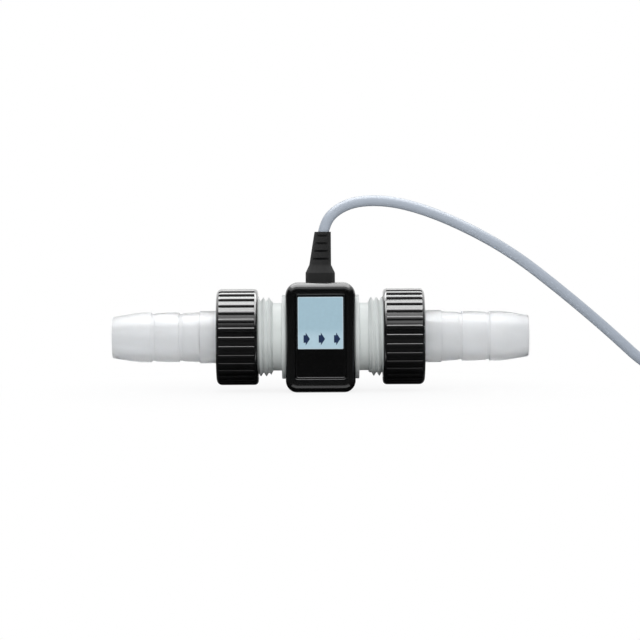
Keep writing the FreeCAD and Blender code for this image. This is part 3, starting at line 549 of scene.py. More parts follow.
def mirrored_outline(
    outline: Iterable[tuple[float, float, float]], side: Side
) -> list[tuple[float, float, float]]:
    """An outline drawn for the outlet, turned over for the inlet.

    Args:
        outline: Corners as x, radius and fillet, in millimetres.
        side: The end of the meter it is for.

    Returns:
        The outline for that end.
    """
    return [(side.value * x, radius, fillet) for x, radius, fillet in outline]


def box_form(low: Point, high: Point) -> bmesh.types.BMesh:
    """A box between two corners.

    Args:
        low: Its lowest corner in metres.
        high: Its highest corner in metres.

    Returns:
        The box.
    """
    form = bmesh.new()
    size = Vector(high) - Vector(low)
    centre = (Vector(high) + Vector(low)) / 2
    bmesh.ops.create_cube(form, size=1.0, matrix=Matrix.Translation(centre) @ Matrix.Diagonal((*size, 1)))
    return form


def round_edges(
    form: bmesh.types.BMesh,
    radius: float,
    chosen: Callable[[bmesh.types.BMEdge], bool],
    segments: int = 5,
) -> None:
    """Rounds the chosen edges of a form.

    Args:
        form: The form to change.
        radius: The rounding in metres.
        chosen: Says whether an edge is rounded.
        segments: How many faces each rounding has.
    """
    edges = [edge for edge in form.edges if chosen(edge)]
    bmesh.ops.bevel(
        form,
        geom=edges,
        offset=radius,
        offset_type="OFFSET",
        segments=segments,
        profile=0.5,
        affect="EDGES",
        material=-1,
        clamp_overlap=True,
    )


def runs_along(axis: int) -> Callable[[bmesh.types.BMEdge], bool]:
    """A test for edges that run along one axis.

    Args:
        axis: 0, 1 or 2 for x, y or z.

    Returns:
        The test.
    """

    def test(edge: bmesh.types.BMEdge) -> bool:
        """Whether the edge runs along the axis."""
        way = (edge.verts[1].co - edge.verts[0].co).normalized()
        return abs(way[axis]) > 0.999

    return test


def added_copies(target: bmesh.types.BMesh, form: bmesh.types.BMesh, turns: Iterable[Matrix]) -> None:
    """Adds copies of a form to another and frees it.

    Args:
        target: The form that gets the copies.
        form: The form that is copied.
        turns: Where each copy goes.
    """
    scratch = bpy.data.meshes.new("scratch")
    form.to_mesh(scratch)
    form.free()
    for turn in turns:
        before = len(target.verts)
        target.from_mesh(scratch)
        target.verts.ensure_lookup_table()
        bmesh.ops.transform(target, matrix=turn, verts=target.verts[before:])
    bpy.data.meshes.remove(scratch)


def finished(
    form: bmesh.types.BMesh,
    name: str,
    finish: Finish,
    body: Body,
    nodes: tuple[str, ...] = (),
    crease: float = 32.0,
) -> bpy.types.Object:
    """Makes a piece of a form: merges it, turns its faces outwards, shades it and sets it on its body.

    Args:
        form: The form, which is freed.
        name: The piece's name.
        finish: Its surface.
        body: The body that it rides on.
        nodes: The CAD nodes that it stands for.
        crease: The angle in degrees past which an edge stays sharp.

    Returns:
        The piece.
    """
    bmesh.ops.remove_doubles(form, verts=form.verts, dist=0.0005 * MM)
    bmesh.ops.recalc_face_normals(form, faces=form.faces)
    mesh = bpy.data.meshes.new(name)
    form.to_mesh(mesh)
    form.free()
    mesh.shade_smooth()
    mesh.set_sharp_from_angle(angle=math.radians(crease))
    mesh.materials.append(finish.material())
    piece = bpy.data.objects.new(name, mesh)
    bpy.context.scene.collection.objects.link(piece)
    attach(piece, body.value)
    if nodes:
        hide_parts(*nodes)
    LOG.info("%s: %d faces on %s", name, len(mesh.polygons), body.value)
    return piece


def refined(
    node: str,
    name: str,
    finish: Finish,
    body: Body,
    edge: float = 0.0,
    shape: Callable[[bmesh.types.BMesh], None] | None = None,
) -> bpy.types.Object:
    """Makes a piece of the shape of a CAD node, merged, smoothly shaded and with its edges broken.

    Args:
        node: The CAD node that is copied and replaced.
        name: The piece's name.
        finish: Its surface.
        body: The body that it rides on.
        edge: The width of the broken edges in metres, or 0.
        shape: Changes the merged form before it is finished, or None.

    Returns:
        The piece.
    """
    form = bmesh.new()
    form.from_mesh(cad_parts[node].data)
    bmesh.ops.remove_doubles(form, verts=form.verts, dist=0.0005 * MM)
    bmesh.ops.dissolve_limit(
        form, angle_limit=math.radians(0.4), verts=form.verts, edges=form.edges, delimit={"NORMAL"}
    )
    if shape is not None:
        shape(form)
    piece = finished(form, name, finish, body, (node,))
    if edge:
        bevel = piece.modifiers.new("broken_edges", "BEVEL")
        bevel.width = edge
        bevel.segments = 4
        bevel.limit_method = "ANGLE"
        bevel.angle_limit = math.radians(40)
        bevel.harden_normals = False
    return piece


def dress(nodes: Iterable[str], finish: Finish) -> None:
    """Gives CAD nodes that keep their own shape a finish.

    Args:
        nodes: The nodes' names.
        finish: Their surface.
    """
    for node in nodes:
        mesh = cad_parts[node].data
        mesh.materials.clear()
        mesh.materials.append(finish.material())
        LOG.info("%s keeps its shape and takes %s", node, finish.name)


# ---------------------------------------------------------------- flow tube


@dataclass
class FlowTube:
    """The white tube: bore, collars, necks and a cut union thread at each end. Sizes in millimetres."""

    end: float = 36.7
    thread_start: float = 20.1
    thread_radius: float = 16.625
    thread_pitch: float = 2.309
    thread_chamfer: float = 1.2
    neck_radius: float = 14.25
    collar_radius: float = 17.7
    collar_inner: float = 14.55
    collar_outer: float = 16.25
    waist_radius: float = 13.0
    bore_radius: float = 10.0
    ring_groove: tuple[float, float] = (15.0, 16.25)
    ring_groove_radius: float = 10.8
    seal_radius: float = 12.4
    seal_groove_half: float = 1.4
    seal_groove_depth: float = 2.5
    turn_steps: int = 96

    @property
    def thread_depth(self) -> float:
        """The depth of the pipe thread's flanks."""
        return 0.6403 * self.thread_pitch

    def core_outline(self) -> list[tuple[float, float, float]]:
        """The outline of the tube under its threads.

        Returns:
            Corners as x, radius and fillet.
        """
        core = self.thread_radius - self.thread_depth - 0.02
        floor = self.end - self.seal_groove_depth
        outer, inner = self.seal_radius + self.seal_groove_half, self.seal_radius - self.seal_groove_half
        groove_start, groove_end = self.ring_groove
        half = [
            (self.collar_inner, self.waist_radius, 0.2),
            (self.collar_inner, self.collar_radius, 0.25),
            (self.collar_outer, self.collar_radius, 0.25),
            (self.collar_outer, self.neck_radius, 0.35),
            (self.thread_start, self.neck_radius, 0.3),
            (self.thread_start + 0.9, core, 0.0),
            (self.end - 0.2, core, 0.15),
            (self.end, core - 0.25, 0.0),
            (self.end, outer, 0.1),
            (floor, outer, 0.15),
            (floor, inner, 0.15),
            (self.end, inner, 0.1),
            (self.end, self.bore_radius, 0.2),
            (groove_end, self.bore_radius, 0.0),
            (groove_end, self.ring_groove_radius, 0.0),
            (groove_start, self.ring_groove_radius, 0.0),
            (groove_start, self.bore_radius, 0.0),
        ]
        return half + [(-x, radius, fillet) for x, radius, fillet in reversed(half)]

    def thread(self, side: Side) -> bmesh.types.BMesh:
        """One end's right-handed thread.

        Args:
            side: The end of the tube.

        Returns:
            The thread as a closed sleeve whose inside lies in the tube's wall.
        """
        form = bmesh.new()
        crest, depth, pitch = self.thread_radius, self.thread_depth, self.thread_pitch
        shape = ((0, 1), (0.10, 0.92), (0.41, 0.08), (0.5, 0), (0.59, 0.08), (0.90, 0.92), (1, 1))
        start = (self.thread_start if side is Side.OUTLET else -self.end) - pitch
        verts = [form.verts.new(((start + u * pitch) * MM, 0, (crest - v * depth) * MM)) for u, v in shape]
        for first, second in zip(verts, verts[1:]):
            form.edges.new((first, second))
        turns = math.ceil((self.end - self.thread_start) / pitch) + 2
        bmesh.ops.spin(
            form,
            geom=form.verts[:] + form.edges[:],
            cent=(0, 0, 0),
            axis=(1, 0, 0),
            dvec=(pitch / self.turn_steps * MM, 0, 0),
            angle=FULL_TURN * turns,
            steps=self.turn_steps * turns,
            use_merge=False,
            use_duplicate=False,
        )
        bmesh.ops.remove_doubles(form, verts=form.verts, dist=0.002 * MM)
        low, high = sorted((side.value * self.thread_start, side.value * self.end))
        self.trim(form, low, -1)
        self.trim(form, high, 1)
        self.run_out(form, side)
        return form

    @staticmethod
    def trim(form: bmesh.types.BMesh, x: float, way: int) -> None:
        """Cuts the sleeve off square and closes the cut down to the wall.

        Args:
            form: The thread.
            x: Where it is cut, in millimetres.
            way: 1 to cut off what lies past x, -1 for what lies before it.
        """
        geometry = form.verts[:] + form.edges[:] + form.faces[:]
        bmesh.ops.bisect_plane(
            form,
            geom=geometry,
            dist=0.0001 * MM,
            plane_co=(x * MM, 0, 0),
            plane_no=(way, 0, 0),
            clear_outer=True,
            clear_inner=False,
        )
        rim = [e for e in form.edges if e.is_boundary and all(abs(v.co.x - x * MM) < 0.001 * MM for v in e.verts)]
        grown = bmesh.ops.extrude_edge_only(form, edges=rim)
        inner = [item for item in grown["geom"] if isinstance(item, bmesh.types.BMVert)]
        for vert in inner:
            radial = Vector((0, vert.co.y, vert.co.z))
            vert.co -= radial.normalized() * (radial.length - 13.9 * MM)

    def run_out(self, form: bmesh.types.BMesh, side: Side) -> None:
        """Turns the crests down where the thread starts and where it runs out.

        Args:
            form: The thread.
            side: The end of the tube.
        """
        root = self.thread_radius - self.thread_depth
        for vert in form.verts:
            along = side.value * vert.co.x / MM
            radial = Vector((0, vert.co.y, vert.co.z))
            entry = root - 0.1 + (self.end - along)
            exit_limit = self.neck_radius + 0.3 + 2.2 * (along - self.thread_start)
            limit = min(entry, exit_limit) * MM
            if radial.length > limit:
                vert.co -= radial.normalized() * (radial.length - limit)

    def build(self) -> None:
        """Builds the tube with both threads."""
        form = lathe(self.core_outline())
        for side in Side:
            added_copies(form, self.thread(side), [Matrix()])
        finished(form, "threaded_flow_tube", TUBE_WHITE, Body.METER, ("flow_tube",), 40)


# ---------------------------------------------------------------- unions


@dataclass
class UnionNut:
    """A black nut with ribs between two plain bands. Sizes in millimetres."""

    side: Side
    first_angle: float
    start: float = 26.15
    end: float = 43.8
    radius: float = 20.25
    bore_radius: float = 16.975
    collar_hole: float = 11.35
    shoulder: float = 3.0
    outer_rounding: float = 2.29
    inner_rounding: float = 1.70
    ribs: int = 32
    groove_depth: float = 0.8
    groove_width: float = 2.0
    outer_band: float = 1.1
    inner_band: float = 1.5
    rib_edge: float = 0.7
    arc_steps: int = 9

    def profile(self) -> list[tuple[float, float]]:
        """The outside of the nut from its inner to its outer end.

        Returns:
            Points as x and radius, with both roundings.
        """
        steps = [math.pi / 2 * index / self.arc_steps for index in range(self.arc_steps + 1)]
        inner, outer = self.inner_rounding, self.outer_rounding
        rising = [
            (self.start + inner * (1 - math.cos(turn)), self.radius - inner * (1 - math.sin(turn)))
            for turn in steps
        ]
        falling = [
            (self.end - outer * (1 - math.sin(turn)), self.radius - outer * (1 - math.cos(turn)))
            for turn in steps
        ]
        return rising + falling

    def radius_at(self, x: float) -> float:
        """How wide the profile is at one place.

        Args:
            x: A place between the nut's ends.

        Returns:
            The radius there.
        """
        inner, outer = self.start + self.inner_rounding - x, x - self.end + self.outer_rounding
        for past, rounding in ((inner, self.inner_rounding), (outer, self.outer_rounding)):
            if past > 0:
                return self.radius - rounding + math.sqrt(rounding**2 - past**2)
        return self.radius

    def shell(self) -> bmesh.types.BMesh:
        """The nut's wall under its ribs, with its bands and shoulder.

        Returns:
            The turned shell.
        """
        floor = self.radius - self.groove_depth
        low, high = self.start + self.inner_band, self.end - self.outer_band
        profile = self.profile()
        outline = [(self.start, self.bore_radius, 0.3)]
        outline += [(x, radius, 0.0) for x, radius in profile if x < low - 0.05]
        outline += [(low, self.radius_at(low), 0.12), (low, floor, 0.2)]
        outline += [(high, floor, 0.15), (high, self.radius_at(high), 0.12)]
        outline += [(x, radius, 0.0) for x, radius in profile if x > high + 0.15]
        outline += [
            (self.end, self.collar_hole, 0.3),
            (self.end - self.shoulder, self.collar_hole, 0.0),
            (self.end - self.shoulder, self.bore_radius, 0.3),
        ]
        return lathe(mirrored_outline(outline, self.side))

    def rib(self) -> bmesh.types.BMesh:
        """One rib, at the top of the nut, whose crest follows the nut's roundings.

        Returns:
            The rib with rounded long edges.
        """
        form = bmesh.new()
        half = math.pi * self.radius / self.ribs - self.groove_width / 2
        low, high = self.start + self.inner_band - 0.1, self.end - self.outer_band + 0.1
        sunk = self.radius - self.groove_depth - 0.6
        crest = [(low, self.radius_at(low))]
        crest += [point for point in self.profile() if low < point[0] < high]
        crest += [(high, self.radius_at(high))]
        outline = [(low, sunk), *crest, (high, sunk)]
        verts = [form.verts.new((self.side.value * x * MM, -half * MM, z * MM)) for x, z in outline]
        face = form.faces.new(verts)
        grown = bmesh.ops.extrude_face_region(form, geom=[face])
        moved = [item for item in grown["geom"] if isinstance(item, bmesh.types.BMVert)]
        bmesh.ops.translate(form, verts=moved, vec=(0, 2 * half * MM, 0))

        def at_crest(edge: bmesh.types.BMEdge) -> bool:
            """Whether the edge runs along the crest's side."""
            across = abs(edge.verts[0].co.y - edge.verts[1].co.y) > 0.1 * MM
            return not across and min(vert.co.z for vert in edge.verts) > (sunk + 0.2) * MM

        round_edges(form, self.rib_edge * MM, at_crest, 6)
        return form

    def build(self) -> None:
        """Builds the nut."""
        form = self.shell()
        step = FULL_TURN / self.ribs
        start = math.radians(self.first_angle) + step / 2
        turns = [Matrix.Rotation(start + step * index, 4, "X") for index in range(self.ribs)]
        added_copies(form, self.rib(), turns)
        word = self.side.word
        stands_for = (f"{word}_union_nut",)
        finished(form, f"{word}_ribbed_nut", NUT_BLACK, self.side.nut_body, stands_for, 30)


@dataclass
class HoseTail:
    """A milky hose tail: flange, collar, three sawtooth lands and a tapered tip. Sizes in millimetres."""

    side: Side
    face: float = 36.7
    flange_end: float = 40.7
    flange_radius: float = 16.1
    collar_end: float = 50.9
    collar_radius: float = 11.0
    tip: float = 87.6
    tip_radius: float = 8.65
    taper_start: float = 78.75
    bore_radius: float = 7.5
    crest: float = 10.45
    root: float = 10.1
    notch: float = 9.8
    notch_width: float = 1.5
    land: float = 4.5
    pitch: float = 11.6
    first_land: float = 47.9

    def outline(self) -> list[tuple[float, float, float]]:
        """The tail's outline, drawn for the outlet.

        Returns:
            Corners as x, radius and fillet.
        """
        corners = [
            (self.face, self.bore_radius, 0.2),
            (self.face, self.flange_radius, 0.3),
            (self.flange_end, self.flange_radius, 0.3),
            (self.flange_end, self.collar_radius, 0.3),
            (self.collar_end, self.collar_radius, 0.25),
            (self.collar_end, self.crest, 0.12),
        ]
        for land in range(3):
            start = self.first_land + land * self.pitch
            if land:
                corners.append((start, self.crest, 0.15))
            corners.append((start + self.land, self.crest, 0.0))
            if land < 2:
                notch_start = start + self.pitch - self.notch_width
                corners += [
                    (notch_start, self.root, 0.12),
                    (notch_start, self.notch, 0.12),
                    (start + self.pitch, self.notch, 0.12),
                ]
        corners += [
            (self.taper_start, self.root, 0.3),
            (self.tip, self.tip_radius, 0.35),
            (self.tip, self.bore_radius, 0.35),
        ]
        return corners

    def build(self) -> None:
        """Builds the tail."""
        word = self.side.word
        form = lathe(mirrored_outline(self.outline(), self.side))
        stands_for = (f"{word}_hose_tail",)
        finished(form, f"{word}_milky_tail", TAIL_MILKY, self.side.tail_body, stands_for, 40)


# ---------------------------------------------------------------- sensor housing


@dataclass
class SensorHousing:
    """The black housing: its two halves, panel with its bead, label and arrows. Sizes in millimetres."""

    label_low: Point = (-9.45, -21.05, -4.65)
    label_high: Point = (9.45, -20.8, 17.05)
    arrow_centres: tuple[float, float, float] = (-5.75, 0.55, 6.9)
    arrow_height: float = -0.43
    arrow_tail: tuple[float, float] = (0.9, 3.1)
    arrow_head: tuple[float, float] = (1.75, 5.3)
    ink: float = 0.03
    foot_low: float = 5.0
    foot_high: float = 9.0
    front: float = -21.5
    recess_low: tuple[float, float] = (-10.55, -17.05)
    recess_high: tuple[float, float] = (10.55, 18.45)
    recess_rounding: float = 0.52
    bead_radius: float = 0.4
    bead_height: float = 0.62
    bead_foot: float = -20.8
    bead_corner: float = 0.8

    def soften_recess(self, form: bmesh.types.BMesh) -> None:
        """Rounds the rim of the recess that holds the panel.

        Args:
            form: The front shell.
        """

        def on_rim(edge: bmesh.types.BMEdge) -> bool:
            """Whether the edge lies on the recess's rim."""
            for vert in edge.verts:
                x, y, z = (value / MM for value in vert.co)
                if abs(y - self.front) > 0.02 or abs(x) > self.recess_high[0] + 0.02:
                    return False
                if not self.recess_low[1] - 0.02 < z < self.recess_high[1] + 0.02:
                    return False
            return True

        round_edges(form, self.recess_rounding * MM, on_rim, 4)

    def bead(self) -> bmesh.types.BMesh:
        """The half-round bead between the panel and the recess's wall.

        Returns:
            The bead, a closed frame.
        """
        form = bmesh.new()
        (left, low), (right, high) = self.recess_low, self.recess_high
        inset, corner, radius = self.bead_radius, self.bead_corner, self.bead_radius
        reach_x, reach_z = (right - left) / 2 - inset - corner, (high - low) / 2 - inset - corner
        middle = (high + low) / 2
        path = []
        for quarter, (way_x, way_z) in enumerate(((1, 1), (-1, 1), (-1, -1), (1, -1))):
            for index in range(9):
                turn = math.radians(90 * quarter + 90 * index / 8)
                path.append((way_x * reach_x, middle + way_z * reach_z, math.cos(turn), math.sin(turn)))
        section = [math.pi * index / 10 for index in range(11)]
        rings = []
        for x, z, out_x, out_z in path:
            ring = []
            for turn in section:
                out = corner + radius * math.cos(turn)
                up = self.bead_foot - self.bead_height * math.sin(turn)
                ring.append(form.verts.new(((x + out_x * out) * MM, up * MM, (z + out_z * out) * MM)))
            rings.append(ring)
        for first, second in zip(rings, rings[1:] + rings[:1]):
            for index in range(len(section)):
                after = (index + 1) % len(section)
                form.faces.new((first[index], first[after], second[after], second[index]))
        return form

    def label_film(self) -> PrintedFilm:
        """The label's finish, placed on the label."""
        low, high = (Vector(corner) * MM for corner in (self.label_low, self.label_high))
        middle = (low + high) / 2
        return PrintedFilm(
            "label_blue",
            LABEL_BLUE,
            LABEL_FOOT,
            LABEL_RIM,
            low.z + self.foot_low * MM,
            low.z + self.foot_high * MM,
            tuple(middle),
            (high.x - low.x) / 2,
            (high.z - low.z) / 2,
        )

    def arrow(self, centre: float) -> bmesh.types.BMesh:
        """One printed flow arrow that points to the outlet.

        Args:
            centre: The x of its middle.

        Returns:
            The arrow as a thin print.
        """
        form = bmesh.new()
        tail_length, tail_height = self.arrow_tail
        head_length, head_height = self.arrow_head
        start = centre - (tail_length + head_length) / 2
        neck, tip = start + tail_length, start + tail_length + head_length
        front = self.label_low[1]
        corners = [
            (start, -tail_height / 2),
            (neck, -tail_height / 2),
            (neck, -head_height / 2),
            (tip, 0),
            (neck, head_height / 2),
            (neck, tail_height / 2),
            (start, tail_height / 2),
        ]
        verts = [form.verts.new((x * MM, front * MM, (self.arrow_height + z) * MM)) for x, z in corners]
        face = form.faces.new(verts)
        grown = bmesh.ops.extrude_face_region(form, geom=[face])
        moved = [item for item in grown["geom"] if isinstance(item, bmesh.types.BMVert)]
        bmesh.ops.translate(form, verts=moved, vec=(0, -self.ink * MM, 0))
        return form

    def build(self) -> None:
        """Builds the housing's pieces."""
        for half, shape in (("front", self.soften_recess), ("rear", None)):
            node, name = f"{half}_housing", f"{half}_shell"
            refined(node, name, HOUSING_BLACK, Body.METER, 0.22 * MM, shape)
        finished(self.bead(), "panel_bead", HOUSING_BLACK, Body.METER)
        refined("front_panel", "glossy_panel", PANEL_BLACK, Body.METER, 0.4 * MM)
        refined("label_plate", "blue_label", self.label_film(), Body.METER, 0.04 * MM)
        arrows = bmesh.new()
        for centre in self.arrow_centres:
            added_copies(arrows, self.arrow(centre), [Matrix()])
        finished(arrows, "flow_arrows", ARROW_NAVY, Body.METER)


# ---------------------------------------------------------------- cable


@dataclass
class SignalCable:
    """The grey cable: up out of the boot, over in an arch to the surface, and wound into a tied coil."""

    diameter: float = 4.6 * MM
    length: float = 1.9
    exit: Point = (0, 0, 22.85 * MM)
    coil_centre: tuple[float, float] = (173.0, -16.0)
    outer_radius: float = 34.5
    pitch: float = 4.6
    row_turns: int = 3
    rows: int = 3
    first_height: float = -19.75
    turn_points: int = 18
    climb_points: int = 3
    free_end_step: float = 18.0
    free_end: ClassVar[tuple[tuple[float, float], ...]] = ((0.2, 2.35), (1.7, 2.25), (3.4, 0.0), (1.6, 0.0))
    ROUTE: ClassVar[tuple[Point, ...]] = (
        (0, 0, 18.55),
        (0, 0, 30.3),
        (1.32, 0, 47.0),
        (7.0, 0, 53.9),
        (17.5, 0.1, 57.6),
        (34.0, 0.6, 56.6),
        (55.1, 2.4, 49.3),
        (80.3, 6.2, 36.0),
        (103.9, 11.4, 17.7),
        (124.4, 16.0, 0.3),
        (138.7, 18.2, -13.1),
        (153.5, 18.9, -20.1),
        (173.0, 18.5, -19.75),
    )

    def coil_points(self) -> list[Point]:
        """The put-away turns: rows that run in and out by turns, then the end on top of them.

        Returns:
            The points after the route's last one.
        """
        points = []
        angle, radius, height = 90.0, self.outer_radius, self.first_height
        step = 360 / self.turn_points
        swell = 1 / math.cos(math.radians(step / 2))

        def advance(outward: float, upward: float, turned: float = step) -> None:
            """Goes on by one step, clockwise from above."""
            nonlocal angle, radius, height
            angle -= turned
            radius += outward
            height += upward
            turn = math.radians(angle)
            across = self.coil_centre[0] + radius * swell * math.cos(turn)
            along = self.coil_centre[1] + radius * swell * math.sin(turn)
            points.append((across, along, height))

        drift = self.pitch / self.turn_points
        for row in range(self.rows):
            way = drift if row % 2 else -drift
            for _ in range(self.row_turns * self.turn_points):
                advance(way, 0)
            if row < self.rows - 1:
                for _ in range(self.climb_points):
                    advance(0, self.pitch / self.climb_points)
        for outward, upward in self.free_end:
            advance(outward, upward, self.free_end_step)
        return points

    def build(self) -> bpy.types.Object:
        """Returns:
            The cable.
        """
        curve = bpy.data.curves.new("signal_cable", "CURVE")
        curve.dimensions = "3D"
        curve.bevel_depth = self.diameter / 2
        curve.bevel_resolution = 6
        curve.resolution_u = 6
        curve.use_fill_caps = True
        points = [*self.ROUTE, *self.coil_points()]
        spline = curve.splines.new("NURBS")
        spline.points.add(len(points) - 1)
        for point, place in zip(spline.points, points):
            point.co = (*(value * MM for value in place), 1)
        spline.order_u = 3
        spline.use_endpoint_u = True
        curve.materials.append(JACKET_GREY.material())
        cable = bpy.data.objects.new("signal_cable", curve)
        bpy.context.scene.collection.objects.link(cable)
        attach(cable, Body.METER.value)
        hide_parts("cable", "cable_coil", "cable_end")
        return cable


@dataclass
class CableFittings:
    """What sits on the cable: boot, ties, cores and ferrules."""

    def build(self, cable: bpy.types.Object, facts: SignalCable) -> None:
        """Args:
            cable: The cable. It is not used.
            facts: The cable's sizes.
        """
        boot = refined("cable_boot", "slotted_boot", BOOT_RUBBER, Body.METER, 0.15 * MM)
        ties = refined("cable_ties", "coil_ties", TIE_NYLON, Body.METER, 0.2 * MM)
        centre = (facts.coil_centre[0] * MM, facts.coil_centre[1] * MM, 0)
        colours = CoreColours(
            "core_colours",
            centre,
            ((0, (0.20, 0.06, 0.02)), (26.8 * MM, (0.02, 0.02, 0.02)), (28.2 * MM, (0.02, 0.08, 0.45))),
        )
        cores = refined("lead_cores", "coloured_cores", colours, Body.METER)
        dress(("core_ferrules",), FERRULE_TIN)
        LOG.info("signal_cable: %.2f m, declared with its boot, ties and cores", facts.length)


# ---------------------------------------------------------------- turbine and electronics


@dataclass
class TurbineCartridge:
    """What turns in the bore, and what holds it there."""

    def build(self) -> None:
        """Dresses the turbine, its straighteners, bearings and rings."""
        refined("rotor", "turbine_wheel", ROTOR_WHITE, Body.TURBINE, 0.08 * MM)
        for side in Side:
            node, name = f"{side.word}_spider", f"{side.word}_straightener"
            refined(node, name, ROTOR_WHITE, Body.METER, 0.1 * MM)
        dress(("rotor_shaft", "inlet_bearing", "outlet_bearing"), CERAMIC_CREAM)
        dress(("rotor_magnets",), MAGNET_NICKEL)
        dress(("inlet_retaining_ring", "outlet_retaining_ring"), SPRING_STEEL)
        seals = [f"{side.word}_{kind}_seal" for side in Side for kind in ("face", "waist")]
        dress(seals, SEAL_RUBBER)


@dataclass
class PulseBoard:
    """The electronics inside the housing, and the screws that close it."""

    def build(self) -> None:
        """Dresses the board and what is on it."""
        dress(("circuit_board",), BOARD_GREEN)
        dress(("hall_sensor", "board_parts"), CHIP_BLACK)
        dress(("board_wires",), JACKET_GREY)
        dress(("housing_screws",), SCREW_STEEL)


# ---------------------------------------------------------------- studio


@dataclass
class Studio:
    """A pale floor, soft lamps and a bright backdrop."""

    floor_height: float = -22.85
    floor_size: float = 6.0
    bounce: float = 0.6
    sky_strength: float = 0.7
    cloth_reach: float = 1.3
    cloth_top: float = 0.85
    cloth_depth: float = 0.01
    cloth_bottom: float = -0.02
    cloth_back: float = 0.6
    cloth_lift: float = 0.0003
    cloth_thickness: float = 0.0001
    gap_near: float = -0.03
    gap_far: float = -0.0225
    gap_side: float = 0.0155
    paper_share: float = 0.15
    paper_reach: float = 0.22
    paper_width: float = 0.14

    def floor(self) -> None:
        """Lays the floor, which shows white and still takes the meter's shadow."""
        form = bmesh.new()
        bmesh.ops.create_grid(form, x_segments=1, y_segments=1, size=self.floor_size)
        bmesh.ops.translate(form, verts=form.verts, vec=(0, 0, self.floor_height * MM))
        mesh = bpy.data.meshes.new("studio_floor")
        form.to_mesh(mesh)
        form.free()
        mesh.materials.append(self.floor_material())
        floor = bpy.data.objects.new("studio_floor", mesh)
        bpy.context.scene.collection.objects.link(floor)

    @staticmethod
    def seen_directly(tree: bpy.types.NodeTree) -> bpy.types.NodeSocket:
        """A value that is 1 for what the camera sees, also by reflection or through clear parts.

        Args:
            tree: The node tree that gets the nodes.

        Returns:
            The value.
        """
        path = tree.nodes.new("ShaderNodeLightPath")
        seen = path.outputs["Is Camera Ray"]
        for other in ("Is Glossy Ray", "Is Transmission Ray"):
            most = tree.nodes.new("ShaderNodeMath")
            most.operation = "MAXIMUM"
            tree.links.new(seen, most.inputs[0])
            tree.links.new(path.outputs[other], most.inputs[1])
            seen = most.outputs[0]
        return seen

    def near_meter(self, tree: bpy.types.NodeTree) -> bpy.types.NodeSocket:
        """How much of the floor's white is lit paper, which takes the shadow.

        Args:
            tree: The node tree that gets the nodes.

        Returns:
            A share that fades to 0 away from the meter.
        """
        place = tree.nodes.new("ShaderNodeTexCoord").outputs["Object"]
        reach = tree.nodes.new("ShaderNodeVectorMath")
        reach.operation = "LENGTH"
        squeeze = tree.nodes.new("ShaderNodeMapping")
        squeeze.inputs["Scale"].default_value = (self.paper_reach / self.paper_width, 1, 0)
        tree.links.new(place, squeeze.inputs["Vector"])
        tree.links.new(squeeze.outputs["Vector"], reach.inputs[0])
        fade = tree.nodes.new("ShaderNodeMapRange")
        fade.interpolation_type = "SMOOTHSTEP"
        for socket, value in (
            ("From Min", 0.0),
            ("From Max", self.paper_reach),
            ("To Min", self.paper_share),
            ("To Max", 0.0),
        ):
            fade.inputs[socket].default_value = value
        tree.links.new(reach.outputs["Value"], fade.inputs["Value"])
        return fade.outputs["Result"]

    def floor_material(self) -> bpy.types.Material:
        """The floor's surface.

        Returns:
            A material that is white where it is seen and grey where it only bounces light.
        """
        material = bpy.data.materials.new("studio_floor")
        material.use_nodes = True
        tree = material.node_tree
        tree.nodes.clear()
        output = tree.nodes.new("ShaderNodeOutputMaterial")
        glow = tree.nodes.new("ShaderNodeEmission")
        glow.inputs["Color"].default_value = (1, 1, 1, 1)
        paper = tree.nodes.new("ShaderNodeBsdfDiffuse")
        paper.inputs["Color"].default_value = (0.9, 0.9, 0.9, 1)
        dull = tree.nodes.new("ShaderNodeBsdfDiffuse")
        dull.inputs["Color"].default_value = (*([self.bounce] * 3), 1)
        white = tree.nodes.new("ShaderNodeMixShader")
        tree.links.new(self.near_meter(tree), white.inputs["Fac"])
        tree.links.new(glow.outputs[0], white.inputs[1])
        tree.links.new(paper.outputs[0], white.inputs[2])
        final = tree.nodes.new("ShaderNodeMixShader")
        tree.links.new(self.seen_directly(tree), final.inputs["Fac"])
        tree.links.new(dull.outputs[0], final.inputs[1])
        tree.links.new(white.outputs[0], final.inputs[2])
        tree.links.new(final.outputs[0], output.inputs["Surface"])
        return material

    def backdrop(self) -> None:
        """Lights the world softly and shows it white."""
        world = bpy.data.worlds.new("studio_world")
        bpy.context.scene.world = world
        world.use_nodes = True
        tree = world.node_tree
        tree.nodes.clear()
        output = tree.nodes.new("ShaderNodeOutputWorld")
        soft = tree.nodes.new("ShaderNodeBackground")
        soft.inputs["Color"].default_value = (0.95, 0.97, 1.0, 1)
        soft.inputs["Strength"].default_value = self.sky_strength
        white = tree.nodes.new("ShaderNodeBackground")
        white.inputs["Strength"].default_value = 1.0
        white.inputs["Color"].default_value = (1, 1, 1, 1)
        mix = tree.nodes.new("ShaderNodeMixShader")
        tree.links.new(self.seen_directly(tree), mix.inputs["Fac"])
        tree.links.new(soft.outputs[0], mix.inputs[1])
        tree.links.new(white.outputs[0], mix.inputs[2])
        tree.links.new(mix.outputs[0], output.inputs["Surface"])

